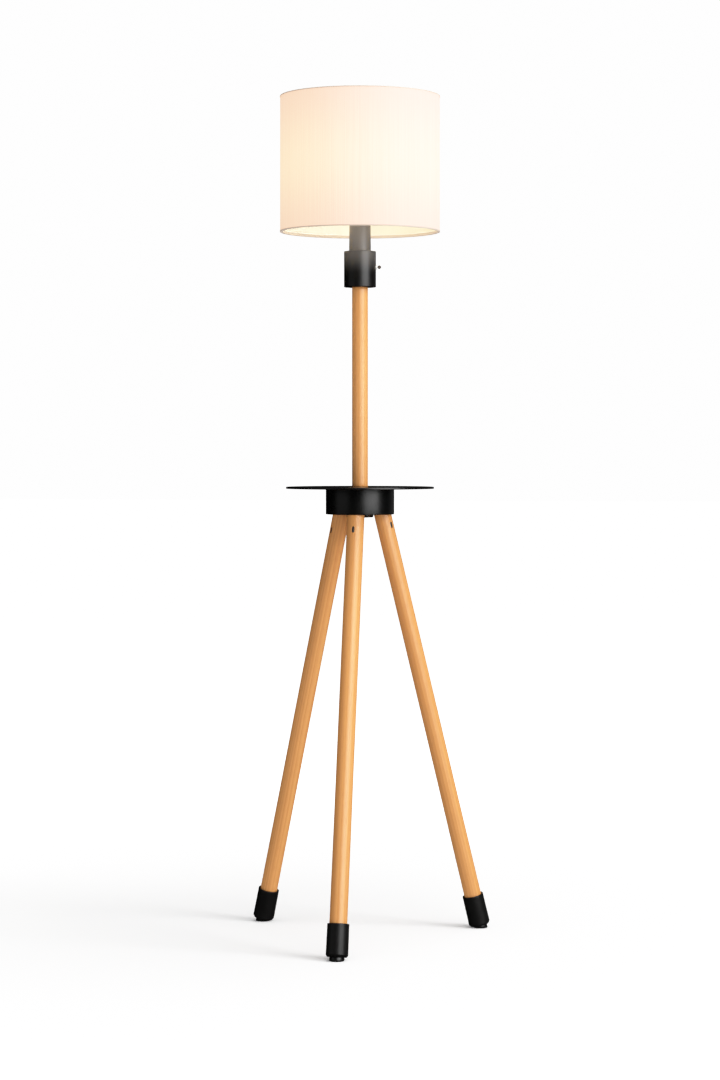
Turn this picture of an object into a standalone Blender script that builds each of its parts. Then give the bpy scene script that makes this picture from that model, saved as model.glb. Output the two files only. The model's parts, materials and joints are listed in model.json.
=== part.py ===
"""A tripod floor lamp: drum shade, socket, switch housing, pole, tray, hub and three raked wooden legs.

Units are metres, +Z is up and the floor is z = 0.  The front leg points along -Y.  The origin is on the
floor at the middle of the lamp's bounding box, so the pole's axis stands POLE_Y behind it.
Run with blender --background --python part.py, or from Blender's text editor.
"""
from math import cos, pi, radians, sin, sqrt

import bmesh
import bpy
from mathutils import Matrix, Vector

# ---- driving dimensions ----
HEIGHT = 1.500                      # floor to the shade's top edge
GAP = 0.0003                        # left between pieces that touch
SHADE_RADIUS = 0.1430
SHADE_HEIGHT = 0.2430
SHADE_WALL = 0.0012                 # fabric on its stiff lining
TRIM_HEIGHT = 0.0020
SHADE_RING_RADIUS = 0.0014          # of the wire itself
FITTER_WIRE_RADIUS = 0.0016
FITTER_Z = 1.2874                   # mid height of the fitter's hub ring and arms
FITTER_THICKNESS = 0.0022
FITTER_ARMS = 3

CUP_RADIUS = 0.0196                 # socket cup
CUP_SKIRT_RADIUS = 0.0176           # threaded skirt above its shoulder
CUP_BORE_RADIUS = 0.0163
CUP_SKIRT_LENGTH = 0.0140
RING_NUT_RADIUS = 0.0250
BULB_RADIUS = 0.0300
BULB_CAP_RADIUS = 0.0130            # a standard lamp cap

HOUSING_RADIUS = 0.0286
HOUSING_TOP = 1.2228
HOUSING_BOTTOM = 1.1587
HOUSING_WALL = 0.0015
SWITCH_Z = 1.1940
KNOB_START = 0.0325                 # from the pole's axis
KNOB_LENGTH = 0.0056
KNOB_RADIUS = 0.0037
SHAFT_RADIUS = 0.0015

PIPE_RADIUS = 0.0050                # threaded pipe
PIPE_BORE_RADIUS = 0.0038
POLE_RADIUS = 0.0142
TRAY_RADIUS = 0.1322
TRAY_TOP = 0.8021
TRAY_THICKNESS = 0.0036

HUB_RADIUS = 0.0612
HUB_TOP = 0.7982
HUB_BOTTOM = 0.7528
HUB_WALL = 0.0015
PLATE_THICKNESS = 0.0060            # the bracket's top plate
BOSS_RADIUS = 0.0150
BOSS_BOTTOM = 0.7599
HAND_NUT_RADIUS = 0.0243
HAND_NUT_LOBES = 8
HAND_NUT_THICKNESS = 0.0100
BUSHING_RADIUS = 0.0068
BUSHING_BOTTOM = 0.7270

LEG_NAMES = ("front", "right", "left")
LEG_ANGLES = (radians(-90), radians(30), radians(150))
LEG_TURNS = (radians(-5.5), radians(-61), radians(68))  # how far each leg is turned on its own axis
LEG_LEAN = radians(14.19)
LEG_REACH = 0.2333                  # pole's axis to where a leg's axis meets the floor
LEG_RADIUS = 0.01535
LEG_TOP = 0.8063                    # these six run along the leg's axis, from the floor
LEG_START = 0.0160
SLEEVE_TOP = 0.0620
SLEEVE_BOTTOM = 0.0060
COTTERS_AT = (0.7467, 0.7553, 0.7456)   # front, right, left
SPIGOT_BOTTOM = 0.7346
SLEEVE_RADIUS = 0.0193
SLEEVE_TOP_RADIUS = 0.0188
GLIDE_RADIUS = 0.0130
GLIDE_STEM_RADIUS = 0.0040
SPIGOT_RADIUS = 0.0060
SPIGOT_NECK_RADIUS = 0.0040
SPIGOT_NECK_LENGTH = 0.0085
COTTER_WIDTH = 0.0046
COTTER_LENGTH = 0.0112

WIDE_SIDES = 40                     # sides of the shade's and the tray's circles
ROUND_SIDES = 24                    # of tubes, cups and legs
SMALL_SIDES = 16                    # of pins, bores and small hidden pieces

# ---- places that follow from them ----
FRONT_FOOT_EDGE = LEG_REACH - SLEEVE_BOTTOM * sin(LEG_LEAN) + SLEEVE_RADIUS * cos(LEG_LEAN)
POLE_Y = (FRONT_FOOT_EDGE - SHADE_RADIUS) / 2
SHADE_BOTTOM = HEIGHT - SHADE_HEIGHT
SHADE_INNER_RADIUS = SHADE_RADIUS - SHADE_WALL
SHADE_RING_PATH = SHADE_INNER_RADIUS - GAP - SHADE_RING_RADIUS
FITTER_PATH = SHADE_INNER_RADIUS - GAP - FITTER_WIRE_RADIUS
SHOULDER_Z = FITTER_Z - FITTER_THICKNESS / 2 - GAP
PIPE_HOLE_RADIUS = PIPE_RADIUS + GAP
PLATE_TOP = HUB_TOP - HUB_WALL - GAP
HAND_NUT_TOP = 0.7573

# ---- finishes: red, green, blue, roughness, metallic ----
FINISHES = {
    "shade_fabric": (0.93, 0.87, 0.76, 0.90, 0.0),
    "trim_tape": (0.45, 0.36, 0.30, 0.80, 0.0),
    "white_wire": (0.85, 0.84, 0.80, 0.45, 0.0),
    "opal_glass": (0.96, 0.93, 0.85, 0.25, 0.0),
    "nickel": (0.80, 0.78, 0.74, 0.25, 1.0),
    "brass": (0.78, 0.58, 0.28, 0.35, 1.0),
    "porcelain": (0.88, 0.86, 0.82, 0.35, 0.0),
    "bronze_paint": (0.16, 0.13, 0.11, 0.45, 0.2),
    "black_paint": (0.018, 0.017, 0.017, 0.40, 0.2),
    "zinc_steel": (0.56, 0.56, 0.55, 0.40, 1.0),
    "cast_iron": (0.06, 0.06, 0.06, 0.70, 0.6),
    "black_plastic": (0.020, 0.019, 0.018, 0.50, 0.0),
    "brown_plastic": (0.10, 0.05, 0.03, 0.45, 0.0),
    "black_rubber": (0.022, 0.021, 0.021, 0.75, 0.0),
    "honey_wood": (0.62, 0.35, 0.16, 0.45, 0.0),
}


def clear_scene():
    for old in list(bpy.data.objects):
        bpy.data.objects.remove(old, do_unlink=True)


clear_scene()
PARTS = bpy.data.collections.new("tripod_floor_lamp")
CUTTERS = bpy.data.collections.new("cutters")
bpy.context.scene.collection.children.link(PARTS)
bpy.context.scene.collection.children.link(CUTTERS)


# ---- making and placing ----
def empty(name, location, rotation=(0, 0, 0)):
    frame = bpy.data.objects.new(name, None)
    frame.location = location
    frame.rotation_euler = rotation
    PARTS.objects.link(frame)
    return frame


def paint(part, finish):
    """Give the part a material of its own in the named finish."""
    red, green, blue, roughness, metallic = FINISHES[finish]
    material = bpy.data.materials.new(part.name)
    material.use_nodes = True
    shader = material.node_tree.nodes["Principled BSDF"]
    shader.inputs["Base Color"].default_value = (red, green, blue, 1)
    shader.inputs["Roughness"].default_value = roughness
    shader.inputs["Metallic"].default_value = metallic
    part.data.materials.append(material)


def place(name, data, finish, parent, location=(0, 0, 0), rotation=(0, 0, 0)):
    part = bpy.data.objects.new(name, data)
    part.parent = parent
    part.location = location
    part.rotation_euler = rotation
    PARTS.objects.link(part)
    paint(part, finish)
    return part


def place_cutter(name, data, parent, location=(0, 0, 0), rotation=(0, 0, 0)):
    cutter = bpy.data.objects.new(name, data)
    cutter.parent = parent
    cutter.location = location
    cutter.rotation_euler = rotation
    cutter.hide_render = True
    cutter.display_type = "WIRE"
    CUTTERS.objects.link(cutter)
    return cutter


def boolean(part, cutter, operation="DIFFERENCE"):
    step = part.modifiers.new(cutter.name, "BOOLEAN")
    step.operation = operation
    step.object = cutter
    step.solver = "EXACT"


def settle(part):
    """Keep the shape that the modifiers make as the part's own mesh, smooth between its sharp edges."""
    bpy.context.view_layer.update()
    depsgraph = bpy.context.evaluated_depsgraph_get()
    mesh = bpy.data.meshes.new_from_object(part.evaluated_get(depsgraph))
    part.modifiers.clear()
    part.data = mesh
    mesh.shade_smooth()
    mesh.set_sharp_from_angle(angle=radians(35))
    return part


# ---- basic shapes ----
def mesh_of(name, shape):
    mesh = bpy.data.meshes.new(name)
    shape.to_mesh(mesh)
    shape.free()
    return mesh


def cylinder(name, radius, bottom, top, sides=SMALL_SIDES):
    """A closed cylinder about the local Z axis, from bottom to top."""
    shape = bmesh.new()
    middle = Matrix.Translation((0, 0, (bottom + top) / 2))
    bmesh.ops.create_cone(shape, cap_ends=True, segments=sides, radius1=radius, radius2=radius,
                          depth=top - bottom, matrix=middle)
    return mesh_of(name, shape)


def box(name, low, high):
    """A closed box between two corners."""
    low = Vector(low)
    high = Vector(high)
    size = high - low
    shape = bmesh.new()
    grow = Matrix.Translation((low + high) / 2) @ Matrix.Diagonal((size.x, size.y, size.z, 1))
    bmesh.ops.create_cube(shape, size=1, matrix=grow)
    return mesh_of(name, shape)


def oblong(name, width, length, start, end):
    """A bar with rounded ends: width across Y, length along Z, running along X from start to end."""
    shape = bmesh.new()
    size = Matrix.Diagonal((end - start, width, length, 1))
    bmesh.ops.create_cube(shape, size=1, matrix=Matrix.Translation(((start + end) / 2, 0, 0)) @ size)
    along = [edge for edge in shape.edges if abs(edge.verts[0].co.x - edge.verts[1].co.x) > width / 2]
    bmesh.ops.bevel(shape, geom=along, offset=width * 0.49, segments=4, profile=0.5, affect="EDGES")
    return mesh_of(name, shape)


def profile_mesh(name, points, closed):
    """The outline of a turned piece as (radius, height) points, outer side from top to bottom."""
    edges = [(index, index + 1) for index in range(len(points) - 1)]
    if closed:
        edges.append((len(points) - 1, 0))
    mesh = bpy.data.meshes.new(name)
    mesh.from_pydata([(radius, 0, height) for radius, height in points], edges, [])
    return mesh


def turned(name, points, finish, parent, closed=True, steps=ROUND_SIDES, location=(0, 0, 0),
           rotation=(0, 0, 0)):
    part = place(name, profile_mesh(name, points, closed), finish, parent, location, rotation)
    screw = part.modifiers.new("turn", "SCREW")
    screw.steps = steps
    screw.render_steps = steps
    screw.use_merge_vertices = True
    screw.merge_threshold = 0.00001
    return part


def tube_profile(inner, outer, bottom, top):
    return [(inner, top), (outer, top), (outer, bottom), (inner, bottom)]


def tube(name, inner, outer, bottom, top, finish, parent, steps=ROUND_SIDES):
    return settle(turned(name, tube_profile(inner, outer, bottom, top), finish, parent, steps=steps))


def arc(centre, radius, start, end, count):
    """Points along a circular arc in the profile plane, angles in degrees from the outward direction."""
    points = []
    for index in range(count + 1):
        angle = radians(start + (end - start) * index / count)
        points.append((centre[0] + radius * cos(angle), centre[1] + radius * sin(angle)))
    return points


def wire_ring(name, path_radius, wire_radius, height, finish, parent):
    """A closed ring of round wire, level at the given height."""
    section = arc((path_radius, height), wire_radius, 90, -270, 6)[:-1]
    return settle(turned(name, section, finish, parent, steps=WIDE_SIDES))


def hex_nut(name, across, bottom, top, bore, finish, parent):
    """A hexagonal nut, its size given across the flats."""
    body = place(name, cylinder(name, across / sqrt(3), bottom, top, 6), finish, parent)
    hole = place_cutter(name + "_bore", cylinder(name, bore, bottom - 0.001, top + 0.001), parent)
    boolean(body, hole)
    return settle(body)


def lead(name, route, radius, finish, parent):
    """A round lead along a smooth curve through the route's points."""
    curve = bpy.data.curves.new(name, "CURVE")
    curve.dimensions = "3D"
    curve.bevel_depth = radius
    curve.bevel_resolution = 2
    curve.use_fill_caps = True
    spline = curve.splines.new("POLY")
    points = smooth_route(route, 2)
    spline.points.add(len(points) - 1)
    for target, point in zip(spline.points, points):
        target.co = (*point, 1)
    return place(name, curve, finish, parent)


def smooth_route(route, steps):
    """Points on cubic spans that leave and reach each route point along the line between its neighbours."""
    ends = [Vector(point) for point in route]
    before = [2 * ends[0] - ends[1], *ends[:-1]]
    after = [*ends[1:], 2 * ends[-1] - ends[-2]]
    directions = [(last - first).normalized() for first, last in zip(before, after)]
    points = []
    for index in range(len(ends) - 1):
        start = ends[index]
        end = ends[index + 1]
        length = (end - start).length
        for step in range(steps):
            t = step / steps
            points.append((2 * t**3 - 3 * t**2 + 1) * start + (3 * t**2 - 2 * t**3) * end
                          + (t**3 - 2 * t**2 + t) * length * directions[index]
                          + (t**3 - t**2) * length * directions[index + 1])
    points.append(ends[-1])
    return points


# ---- shade ----
def make_shade(axis):
    """Drum of lined fabric between two taped rims, on a wire fitter that turns on the socket."""
    trim_inner = SHADE_INNER_RADIUS - GAP
    fabric_top = HEIGHT - TRIM_HEIGHT - GAP
    fabric_bottom = SHADE_BOTTOM + TRIM_HEIGHT + GAP
    tube("shade_fabric", SHADE_INNER_RADIUS, SHADE_RADIUS - 0.0001, fabric_bottom, fabric_top,
         "shade_fabric", axis, WIDE_SIDES)
    tube("shade_top_trim", trim_inner, SHADE_RADIUS, HEIGHT - TRIM_HEIGHT, HEIGHT, "trim_tape", axis,
         WIDE_SIDES)
    tube("shade_bottom_trim", trim_inner, SHADE_RADIUS, SHADE_BOTTOM, SHADE_BOTTOM + TRIM_HEIGHT,
         "trim_tape", axis, WIDE_SIDES)
    inset = TRIM_HEIGHT + GAP + 2 * SHADE_RING_RADIUS
    wire_ring("shade_top_ring", SHADE_RING_PATH, SHADE_RING_RADIUS, HEIGHT - inset, "white_wire", axis)
    wire_ring("shade_bottom_ring", SHADE_RING_PATH, SHADE_RING_RADIUS, SHADE_BOTTOM + inset,
              "white_wire", axis)
    make_fitter(axis)


def make_fitter(axis):
    """Hub ring, three level arms and the outer ring bonded to the shade's lining, welded into one."""
    half = FITTER_THICKNESS / 2
    section = arc((FITTER_PATH, FITTER_Z), FITTER_WIRE_RADIUS, 90, -270, 6)[:-1]
    fitter = turned("shade_fitter", section, "white_wire", axis, steps=WIDE_SIDES)
    hub_edge = RING_NUT_RADIUS + 0.0025
    hub_ring = tube_profile(CUP_SKIRT_RADIUS + GAP, hub_edge, FITTER_Z - half, FITTER_Z + half)
    hub_cutter = place_cutter("fitter_hub_ring", profile_mesh("fitter_hub_ring", hub_ring, True), axis)
    screw = hub_cutter.modifiers.new("turn", "SCREW")
    screw.steps = ROUND_SIDES
    screw.render_steps = ROUND_SIDES
    screw.use_merge_vertices = True
    screw.merge_threshold = 0.00001
    arm_start = RING_NUT_RADIUS + 0.0006
    for index in range(FITTER_ARMS):
        turn = 2 * pi * index / FITTER_ARMS + pi / 2
        arm = cylinder("fitter_arm", FITTER_WIRE_RADIUS * 0.95, arm_start, FITTER_PATH, 8)
        direction = Matrix.Rotation(turn, 3, "Z") @ Matrix.Rotation(pi / 2, 3, "Y")
        bar = place_cutter(f"fitter_arm_{index}", arm, axis, (0, 0, FITTER_Z), direction.to_euler())
        boolean(fitter, bar, "UNION")
    boolean(fitter, hub_cutter, "UNION")
    settle(fitter)


# ---- socket and bulb ----
def make_socket(axis):
    """The cup on the housing's top, the lamp holder in it and the ring nut that keeps the shade."""
    floor_z = HOUSING_TOP + GAP
    floor_top = floor_z + HOUSING_WALL
    skirt_top = SHOULDER_Z + CUP_SKIRT_LENGTH
    edge = 0.0012
    cup = [(CUP_BORE_RADIUS, skirt_top), (CUP_SKIRT_RADIUS, skirt_top), (CUP_SKIRT_RADIUS, SHOULDER_Z)]
    cup += arc((CUP_RADIUS - edge, SHOULDER_Z - edge), edge, 90, 0, 2)
    cup += arc((CUP_RADIUS - edge, floor_z + edge), edge, 0, -90, 2)
    cup += [(PIPE_HOLE_RADIUS, floor_z), (PIPE_HOLE_RADIUS, floor_top), (CUP_BORE_RADIUS, floor_top)]
    settle(turned("socket_cup", cup, "bronze_paint", axis))

    nut_bottom = FITTER_Z + FITTER_THICKNESS / 2 + GAP
    tube("shade_ring_nut", CUP_SKIRT_RADIUS + GAP, RING_NUT_RADIUS, nut_bottom, nut_bottom + 0.006,
         "black_plastic", axis)
    nipple_top = 1.2345
    tube("nipple", PIPE_BORE_RADIUS, PIPE_RADIUS, 1.2150, nipple_top, "brass", axis, SMALL_SIDES)
    hex_nut("nipple_nut", 0.0140, floor_top + GAP, floor_top + 0.0043, PIPE_HOLE_RADIUS, "zinc_steel", axis)

    insulator_bottom = nipple_top + GAP
    insulator_top = insulator_bottom + 0.0150
    insulator = tube_profile(0.0030, CUP_BORE_RADIUS - GAP, insulator_bottom, insulator_top)
    settle(turned("socket_insulator", insulator, "porcelain", axis, steps=SMALL_SIDES))
    shell_bottom = insulator_top + GAP
    tube("socket_screw_shell", BULB_CAP_RADIUS + 0.0005, BULB_CAP_RADIUS + 0.0012, shell_bottom,
         shell_bottom + 0.0240, "brass", axis, SMALL_SIDES)
    contact = cylinder("centre_contact", 0.0040, shell_bottom, shell_bottom + 0.0020)
    settle(place("centre_contact", contact, "brass", axis))
    make_bulb(axis, shell_bottom + 0.0020 + GAP)


def make_bulb(axis, bottom):
    """A round opal bulb on a screw cap, standing in the socket."""
    cap_top = bottom + 0.0260
    cap = [(0, cap_top), (BULB_CAP_RADIUS, cap_top), (BULB_CAP_RADIUS, bottom + 0.0060)]
    cap += [(0.0060, bottom), (0, bottom)]
    settle(turned("bulb_cap", cap, "nickel", axis, closed=False, steps=SMALL_SIDES))
    wall = 0.0012
    neck_bottom = cap_top + GAP
    neck_radius = 0.0135
    centre = (0, neck_bottom + 0.0560)
    neck_top = neck_bottom + 0.0180
    shoulder = -50
    outer = arc(centre, BULB_RADIUS, 90, shoulder, 7)
    outer += [(neck_radius, neck_top), (neck_radius, neck_bottom)]
    inner = [(neck_radius - wall, neck_bottom), (neck_radius - wall, neck_top)]
    inner += arc(centre, BULB_RADIUS - wall, shoulder, 90, 7)
    outer[0] = (0, outer[0][1])
    inner[-1] = (0, inner[-1][1])
    settle(turned("bulb_glass", outer + inner, "opal_glass", axis, closed=False))


# ---- switch housing ----
def make_housing(axis):
    """An inverted cup closed by a flat base, with the yoke inside that joins pipe and nipple."""
    edge = 0.0016
    inner = HOUSING_RADIUS - HOUSING_WALL
    ceiling = HOUSING_TOP - HOUSING_WALL
    shell = [(PIPE_HOLE_RADIUS, HOUSING_TOP)]
    shell += arc((HOUSING_RADIUS - edge, HOUSING_TOP - edge), edge, 90, 0, 2)
    shell += [(HOUSING_RADIUS, HOUSING_BOTTOM), (inner, HOUSING_BOTTOM), (inner, ceiling)]
    shell += [(PIPE_HOLE_RADIUS, ceiling)]
    casing = turned("housing_shell", shell, "bronze_paint", axis, steps=32)
    across = (0, pi / 2, 0)
    bore = cylinder("switch_hole", 0.0033, 0.020, 0.035)
    boolean(casing, place_cutter("switch_hole", bore, axis, (0, 0, SWITCH_Z), across))
    settle(casing)

    base_top = HOUSING_BOTTOM + 0.0023
    tube("housing_base", PIPE_HOLE_RADIUS, inner - GAP, HOUSING_BOTTOM + GAP, base_top, "bronze_paint",
         axis, 32)
    nut_top = base_top + GAP + 0.0040
    hex_nut("pipe_nut", 0.0140, base_top + GAP, nut_top, PIPE_HOLE_RADIUS, "zinc_steel", axis)

    yoke_bottom = nut_top + GAP
    yoke_top = ceiling - GAP
    strap = 0.0020
    half_width = 0.0050
    reach = 0.0120
    yoke = place("pipe_yoke", box("pipe_yoke", (-half_width - strap, -reach, yoke_bottom),
                                  (half_width + strap, reach, yoke_top)), "zinc_steel", axis)
    window = box("yoke_window", (-0.02, strap - reach, yoke_bottom + strap),
                 (0.02, reach - strap, yoke_top - strap))
    boolean(yoke, place_cutter("yoke_window", window, axis))
    hole = cylinder("yoke_holes", PIPE_HOLE_RADIUS, yoke_bottom - 0.01, yoke_top + 0.01)
    boolean(yoke, place_cutter("yoke_holes", hole, axis))
    settle(yoke)


def make_switch(axis):
    """A rotary switch in the housing; its bushing and nut hold it to the wall, the knob turns outside."""
    across = (0, pi / 2, 0)
    body_end = 0.0245
    body = place("switch_body", box("switch_body", (0.0090, -0.0090, -0.0110), (body_end, 0.0090, 0.0110)),
                 "black_plastic", axis, (0, 0, SWITCH_Z))
    blind = cylinder("switch_blind_hole", SHAFT_RADIUS + GAP, 0.0170, 0.0300)
    boolean(body, place_cutter("switch_blind_hole", blind, axis, (0, 0, SWITCH_Z), across))
    settle(body)
    at_switch = {"location": (0, 0, SWITCH_Z), "rotation": across, "steps": SMALL_SIDES}
    sleeve = tube_profile(SHAFT_RADIUS + GAP, 0.0030, body_end + GAP, 0.0303)
    settle(turned("switch_bushing", sleeve, "nickel", axis, **at_switch))
    ring = tube_profile(0.0033, 0.0048, HOUSING_RADIUS + GAP, 0.0301)
    settle(turned("switch_nut", ring, "nickel", axis, **at_switch))


def make_knob(axis):
    """The knob, widest at its middle, and its shaft, along the local Z axis of the switch's own frame."""
    shaft_end = KNOB_START + KNOB_LENGTH - 0.0018
    settle(place("switch_shaft", cylinder("switch_shaft", SHAFT_RADIUS, 0.0175, shaft_end), "nickel", axis))
    end = KNOB_START + KNOB_LENGTH
    middle = KNOB_START + KNOB_LENGTH * 0.45
    tip = KNOB_RADIUS * 0.45
    outline = [(0, end), (tip * 0.7, end), (tip, end - 0.0005), (KNOB_RADIUS, middle + 0.0004)]
    outline += [(KNOB_RADIUS, middle - 0.0004), (tip * 1.3, KNOB_START), (SHAFT_RADIUS + GAP, KNOB_START)]
    outline += [(SHAFT_RADIUS + GAP, shaft_end + GAP), (0, shaft_end + GAP)]
    settle(turned("switch_knob", outline, "brown_plastic", axis, closed=False, steps=SMALL_SIDES))


# ---- pole, pipe, tray and hub ----
def make_column(axis):
    """The wooden pole and the tray, clamped on the hub by one threaded pipe."""
    pole_top = HOUSING_BOTTOM - GAP
    tube("pole", PIPE_HOLE_RADIUS, POLE_RADIUS, TRAY_TOP + GAP, pole_top, "honey_wood", axis, 32)
    tube("threaded_pipe", PIPE_BORE_RADIUS, PIPE_RADIUS, 0.7340, 1.1760, "zinc_steel", axis, SMALL_SIDES)
    bottom = TRAY_TOP - TRAY_THICKNESS
    edge = TRAY_THICKNESS / 2
    rim = arc((TRAY_RADIUS - edge, TRAY_TOP - edge), edge, 90, -90, 4)
    tray = [(PIPE_HOLE_RADIUS, TRAY_TOP), *rim, (PIPE_HOLE_RADIUS, bottom)]
    settle(turned("tray", tray, "black_paint", axis, steps=WIDE_SIDES))


def make_hub(axis, leg_frames):
    """A spun casing open below, hiding the cast bracket that the legs butt against."""
    edge = 0.0014
    inner = HUB_RADIUS - HUB_WALL
    ceiling = HUB_TOP - HUB_WALL
    casing = [(PIPE_HOLE_RADIUS, HUB_TOP)]
    casing += arc((HUB_RADIUS - edge, HUB_TOP - edge), edge, 90, 0, 2)
    casing += arc((HUB_RADIUS - edge, HUB_BOTTOM + edge), edge, 0, -90, 2)
    casing += [(inner, HUB_BOTTOM), (inner, ceiling), (PIPE_HOLE_RADIUS, ceiling)]
    settle(turned("hub_casing", casing, "black_paint", axis, steps=32))
    make_bracket(axis, leg_frames)

    washer_top = BOSS_BOTTOM - GAP
    washer_bottom = HAND_NUT_TOP + GAP
    tube("clamp_washer", PIPE_HOLE_RADIUS, 0.0200, washer_bottom, washer_top, "zinc_steel", axis,
         SMALL_SIDES)
    make_hand_nut(axis)
    seat = 0.7340 - GAP
    top = HAND_NUT_TOP - HAND_NUT_THICKNESS - GAP
    bushing = [(PIPE_HOLE_RADIUS, top), (BUSHING_RADIUS, top)]
    bushing += [(BUSHING_RADIUS, BUSHING_BOTTOM + 0.0010), (BUSHING_RADIUS - 0.0010, BUSHING_BOTTOM)]
    bushing += [(0.0031, BUSHING_BOTTOM), (0.0031, seat), (PIPE_HOLE_RADIUS, seat)]
    settle(turned("cord_bushing", bushing, "brass", axis, steps=SMALL_SIDES))


def make_bracket(axis, leg_frames):
    """Top plate, boss, three ribs and three raked seats, cast as one, bored for pipe and spigots."""
    rim = HUB_RADIUS - HUB_WALL - 0.0010
    plate_bottom = PLATE_TOP - PLATE_THICKNESS
    plate = cylinder("leg_bracket", rim, plate_bottom, PLATE_TOP, 32)
    bracket = place("leg_bracket", plate, "cast_iron", axis)
    boss = cylinder("bracket_boss", BOSS_RADIUS, BOSS_BOTTOM, PLATE_TOP - 0.001, SMALL_SIDES)
    boolean(bracket, place_cutter("bracket_boss", boss, axis), "UNION")
    for index, angle in enumerate(LEG_ANGLES):
        rib = box("bracket_rib", (0.010, -0.0025, 0.7720), (rim - 0.004, 0.0025, PLATE_TOP - 0.002))
        turn = (0, 0, angle + pi / 3)
        boolean(bracket, place_cutter(f"bracket_rib_{index}", rib, axis, rotation=turn), "UNION")
    seat_bottom = LEG_TOP + GAP
    for index, frame in enumerate(leg_frames):
        seat = cylinder("bracket_seat", LEG_RADIUS + 0.0015, seat_bottom, seat_bottom + 0.0120, SMALL_SIDES)
        boolean(bracket, place_cutter(f"bracket_seat_{index}", seat, frame), "UNION")
    above = box("bracket_trim", (-0.1, -0.1, PLATE_TOP), (0.1, 0.1, PLATE_TOP + 0.05))
    boolean(bracket, place_cutter("bracket_trim", above, axis))
    bore = cylinder("bracket_bore", PIPE_HOLE_RADIUS, 0.70, 0.85)
    boolean(bracket, place_cutter("bracket_bore", bore, axis))
    for index, frame in enumerate(leg_frames):
        depth = SPIGOT_NECK_LENGTH + GAP
        hole = cylinder("spigot_hole", SPIGOT_NECK_RADIUS + GAP, LEG_TOP - 0.002, LEG_TOP + depth)
        boolean(bracket, place_cutter(f"spigot_hole_{index}", hole, frame))
    settle(bracket)


def make_hand_nut(axis):
    """A flat lobed wheel with a plain bore: its radius waves once for each lobe."""
    curve = bpy.data.curves.new("hand_nut", "CURVE")
    curve.dimensions = "2D"
    curve.fill_mode = "BOTH"
    curve.extrude = HAND_NUT_THICKNESS / 2
    wave = 0.0016
    add_loop(curve, 48, lambda angle: HAND_NUT_RADIUS - wave + wave * cos(HAND_NUT_LOBES * angle))
    add_loop(curve, SMALL_SIDES, lambda angle: PIPE_HOLE_RADIUS)
    place("hand_nut", curve, "black_plastic", axis, (0, 0, HAND_NUT_TOP - HAND_NUT_THICKNESS / 2))


def add_loop(curve, count, radius_at):
    spline = curve.splines.new("POLY")
    spline.points.add(count - 1)
    spline.use_cyclic_u = True
    for index, point in enumerate(spline.points):
        angle = 2 * pi * index / count
        radius = radius_at(angle)
        point.co = (radius * cos(angle), radius * sin(angle), 0, 1)


def make_leads(axis):
    """The lead up the pipe to the switch, and the lead from the switch through the nipple to the socket."""
    lead_bottom = 0.7290
    bend = SWITCH_Z - 0.0210
    straight = [(0, 0, lead_bottom + (bend - lead_bottom) * step / 6) for step in range(7)]
    rise = [(0.0004, -0.0160), (0.0022, -0.0102), (0.0048, -0.0075), (0.0084, -0.0070)]
    rise = [(across, 0, SWITCH_Z + up) for across, up in rise]
    lead("supply_lead", straight + rise, 0.0026, "black_rubber", axis)
    back = [(0.0084, 0.0050), (0.0050, 0.0056), (0.0022, 0.0086), (0.0004, 0.0140), (0, 0.0200)]
    back = [(across, 0, SWITCH_Z + up) for across, up in back]
    back += [(0, 0, 1.2250), (0, 0, 1.2340), (0, 0, 1.2430), (0, 0, 1.2495)]
    lead("socket_lead", back, 0.0022, "black_rubber", axis)


# ---- legs ----
def leg_frame(index):
    """A frame on the floor where the leg's axis meets it, +Z up along the leg and +X outwards."""
    angle = LEG_ANGLES[index]
    foot = (LEG_REACH * cos(angle), POLE_Y + LEG_REACH * sin(angle), 0)
    return empty(LEG_NAMES[index] + "_leg_frame", foot, (0, -LEG_LEAN, angle))


def make_leg(index, frame):
    """One leg with its spigot, cotter, rubber sleeve and glide."""
    name = LEG_NAMES[index]
    turn = (0, 0, LEG_TURNS[index])
    cotter_place = (0, 0, COTTERS_AT[index])
    bore = SPIGOT_RADIUS + GAP
    stem = GLIDE_STEM_RADIUS + GAP
    bore_bottom = SPIGOT_BOTTOM - GAP
    stem_top = 0.0360
    rod = [(0, bore_bottom), (bore, bore_bottom), (bore, LEG_TOP), (LEG_RADIUS, LEG_TOP)]
    rod += [(LEG_RADIUS, LEG_START), (stem, LEG_START), (stem, stem_top), (0, stem_top)]
    leg = turned(name + "_leg", rod, "honey_wood", frame, closed=False)
    slot_size = (COTTER_WIDTH + 2 * GAP, COTTER_LENGTH + 2 * GAP)
    slot = oblong("slot", *slot_size, -0.0103, 0.0200)
    slot = place_cutter(name + "_leg_slot", slot, frame, cotter_place, turn)
    boolean(leg, slot)
    settle(leg)

    neck = SPIGOT_NECK_RADIUS
    pin = [(0, LEG_TOP + SPIGOT_NECK_LENGTH), (neck, LEG_TOP + SPIGOT_NECK_LENGTH), (neck, LEG_TOP)]
    pin += [(SPIGOT_RADIUS, LEG_TOP), (SPIGOT_RADIUS, SPIGOT_BOTTOM), (0, SPIGOT_BOTTOM)]
    spigot = turned(name + "_leg_spigot", pin, "zinc_steel", frame, closed=False, steps=SMALL_SIDES)
    boolean(spigot, slot)
    settle(spigot)

    key = oblong("cotter", COTTER_WIDTH, COTTER_LENGTH, -0.0100, LEG_RADIUS - 0.0006)
    settle(place(name + "_leg_cotter", key, "zinc_steel", frame, cotter_place, turn))
    make_foot(name, frame, stem)


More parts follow.
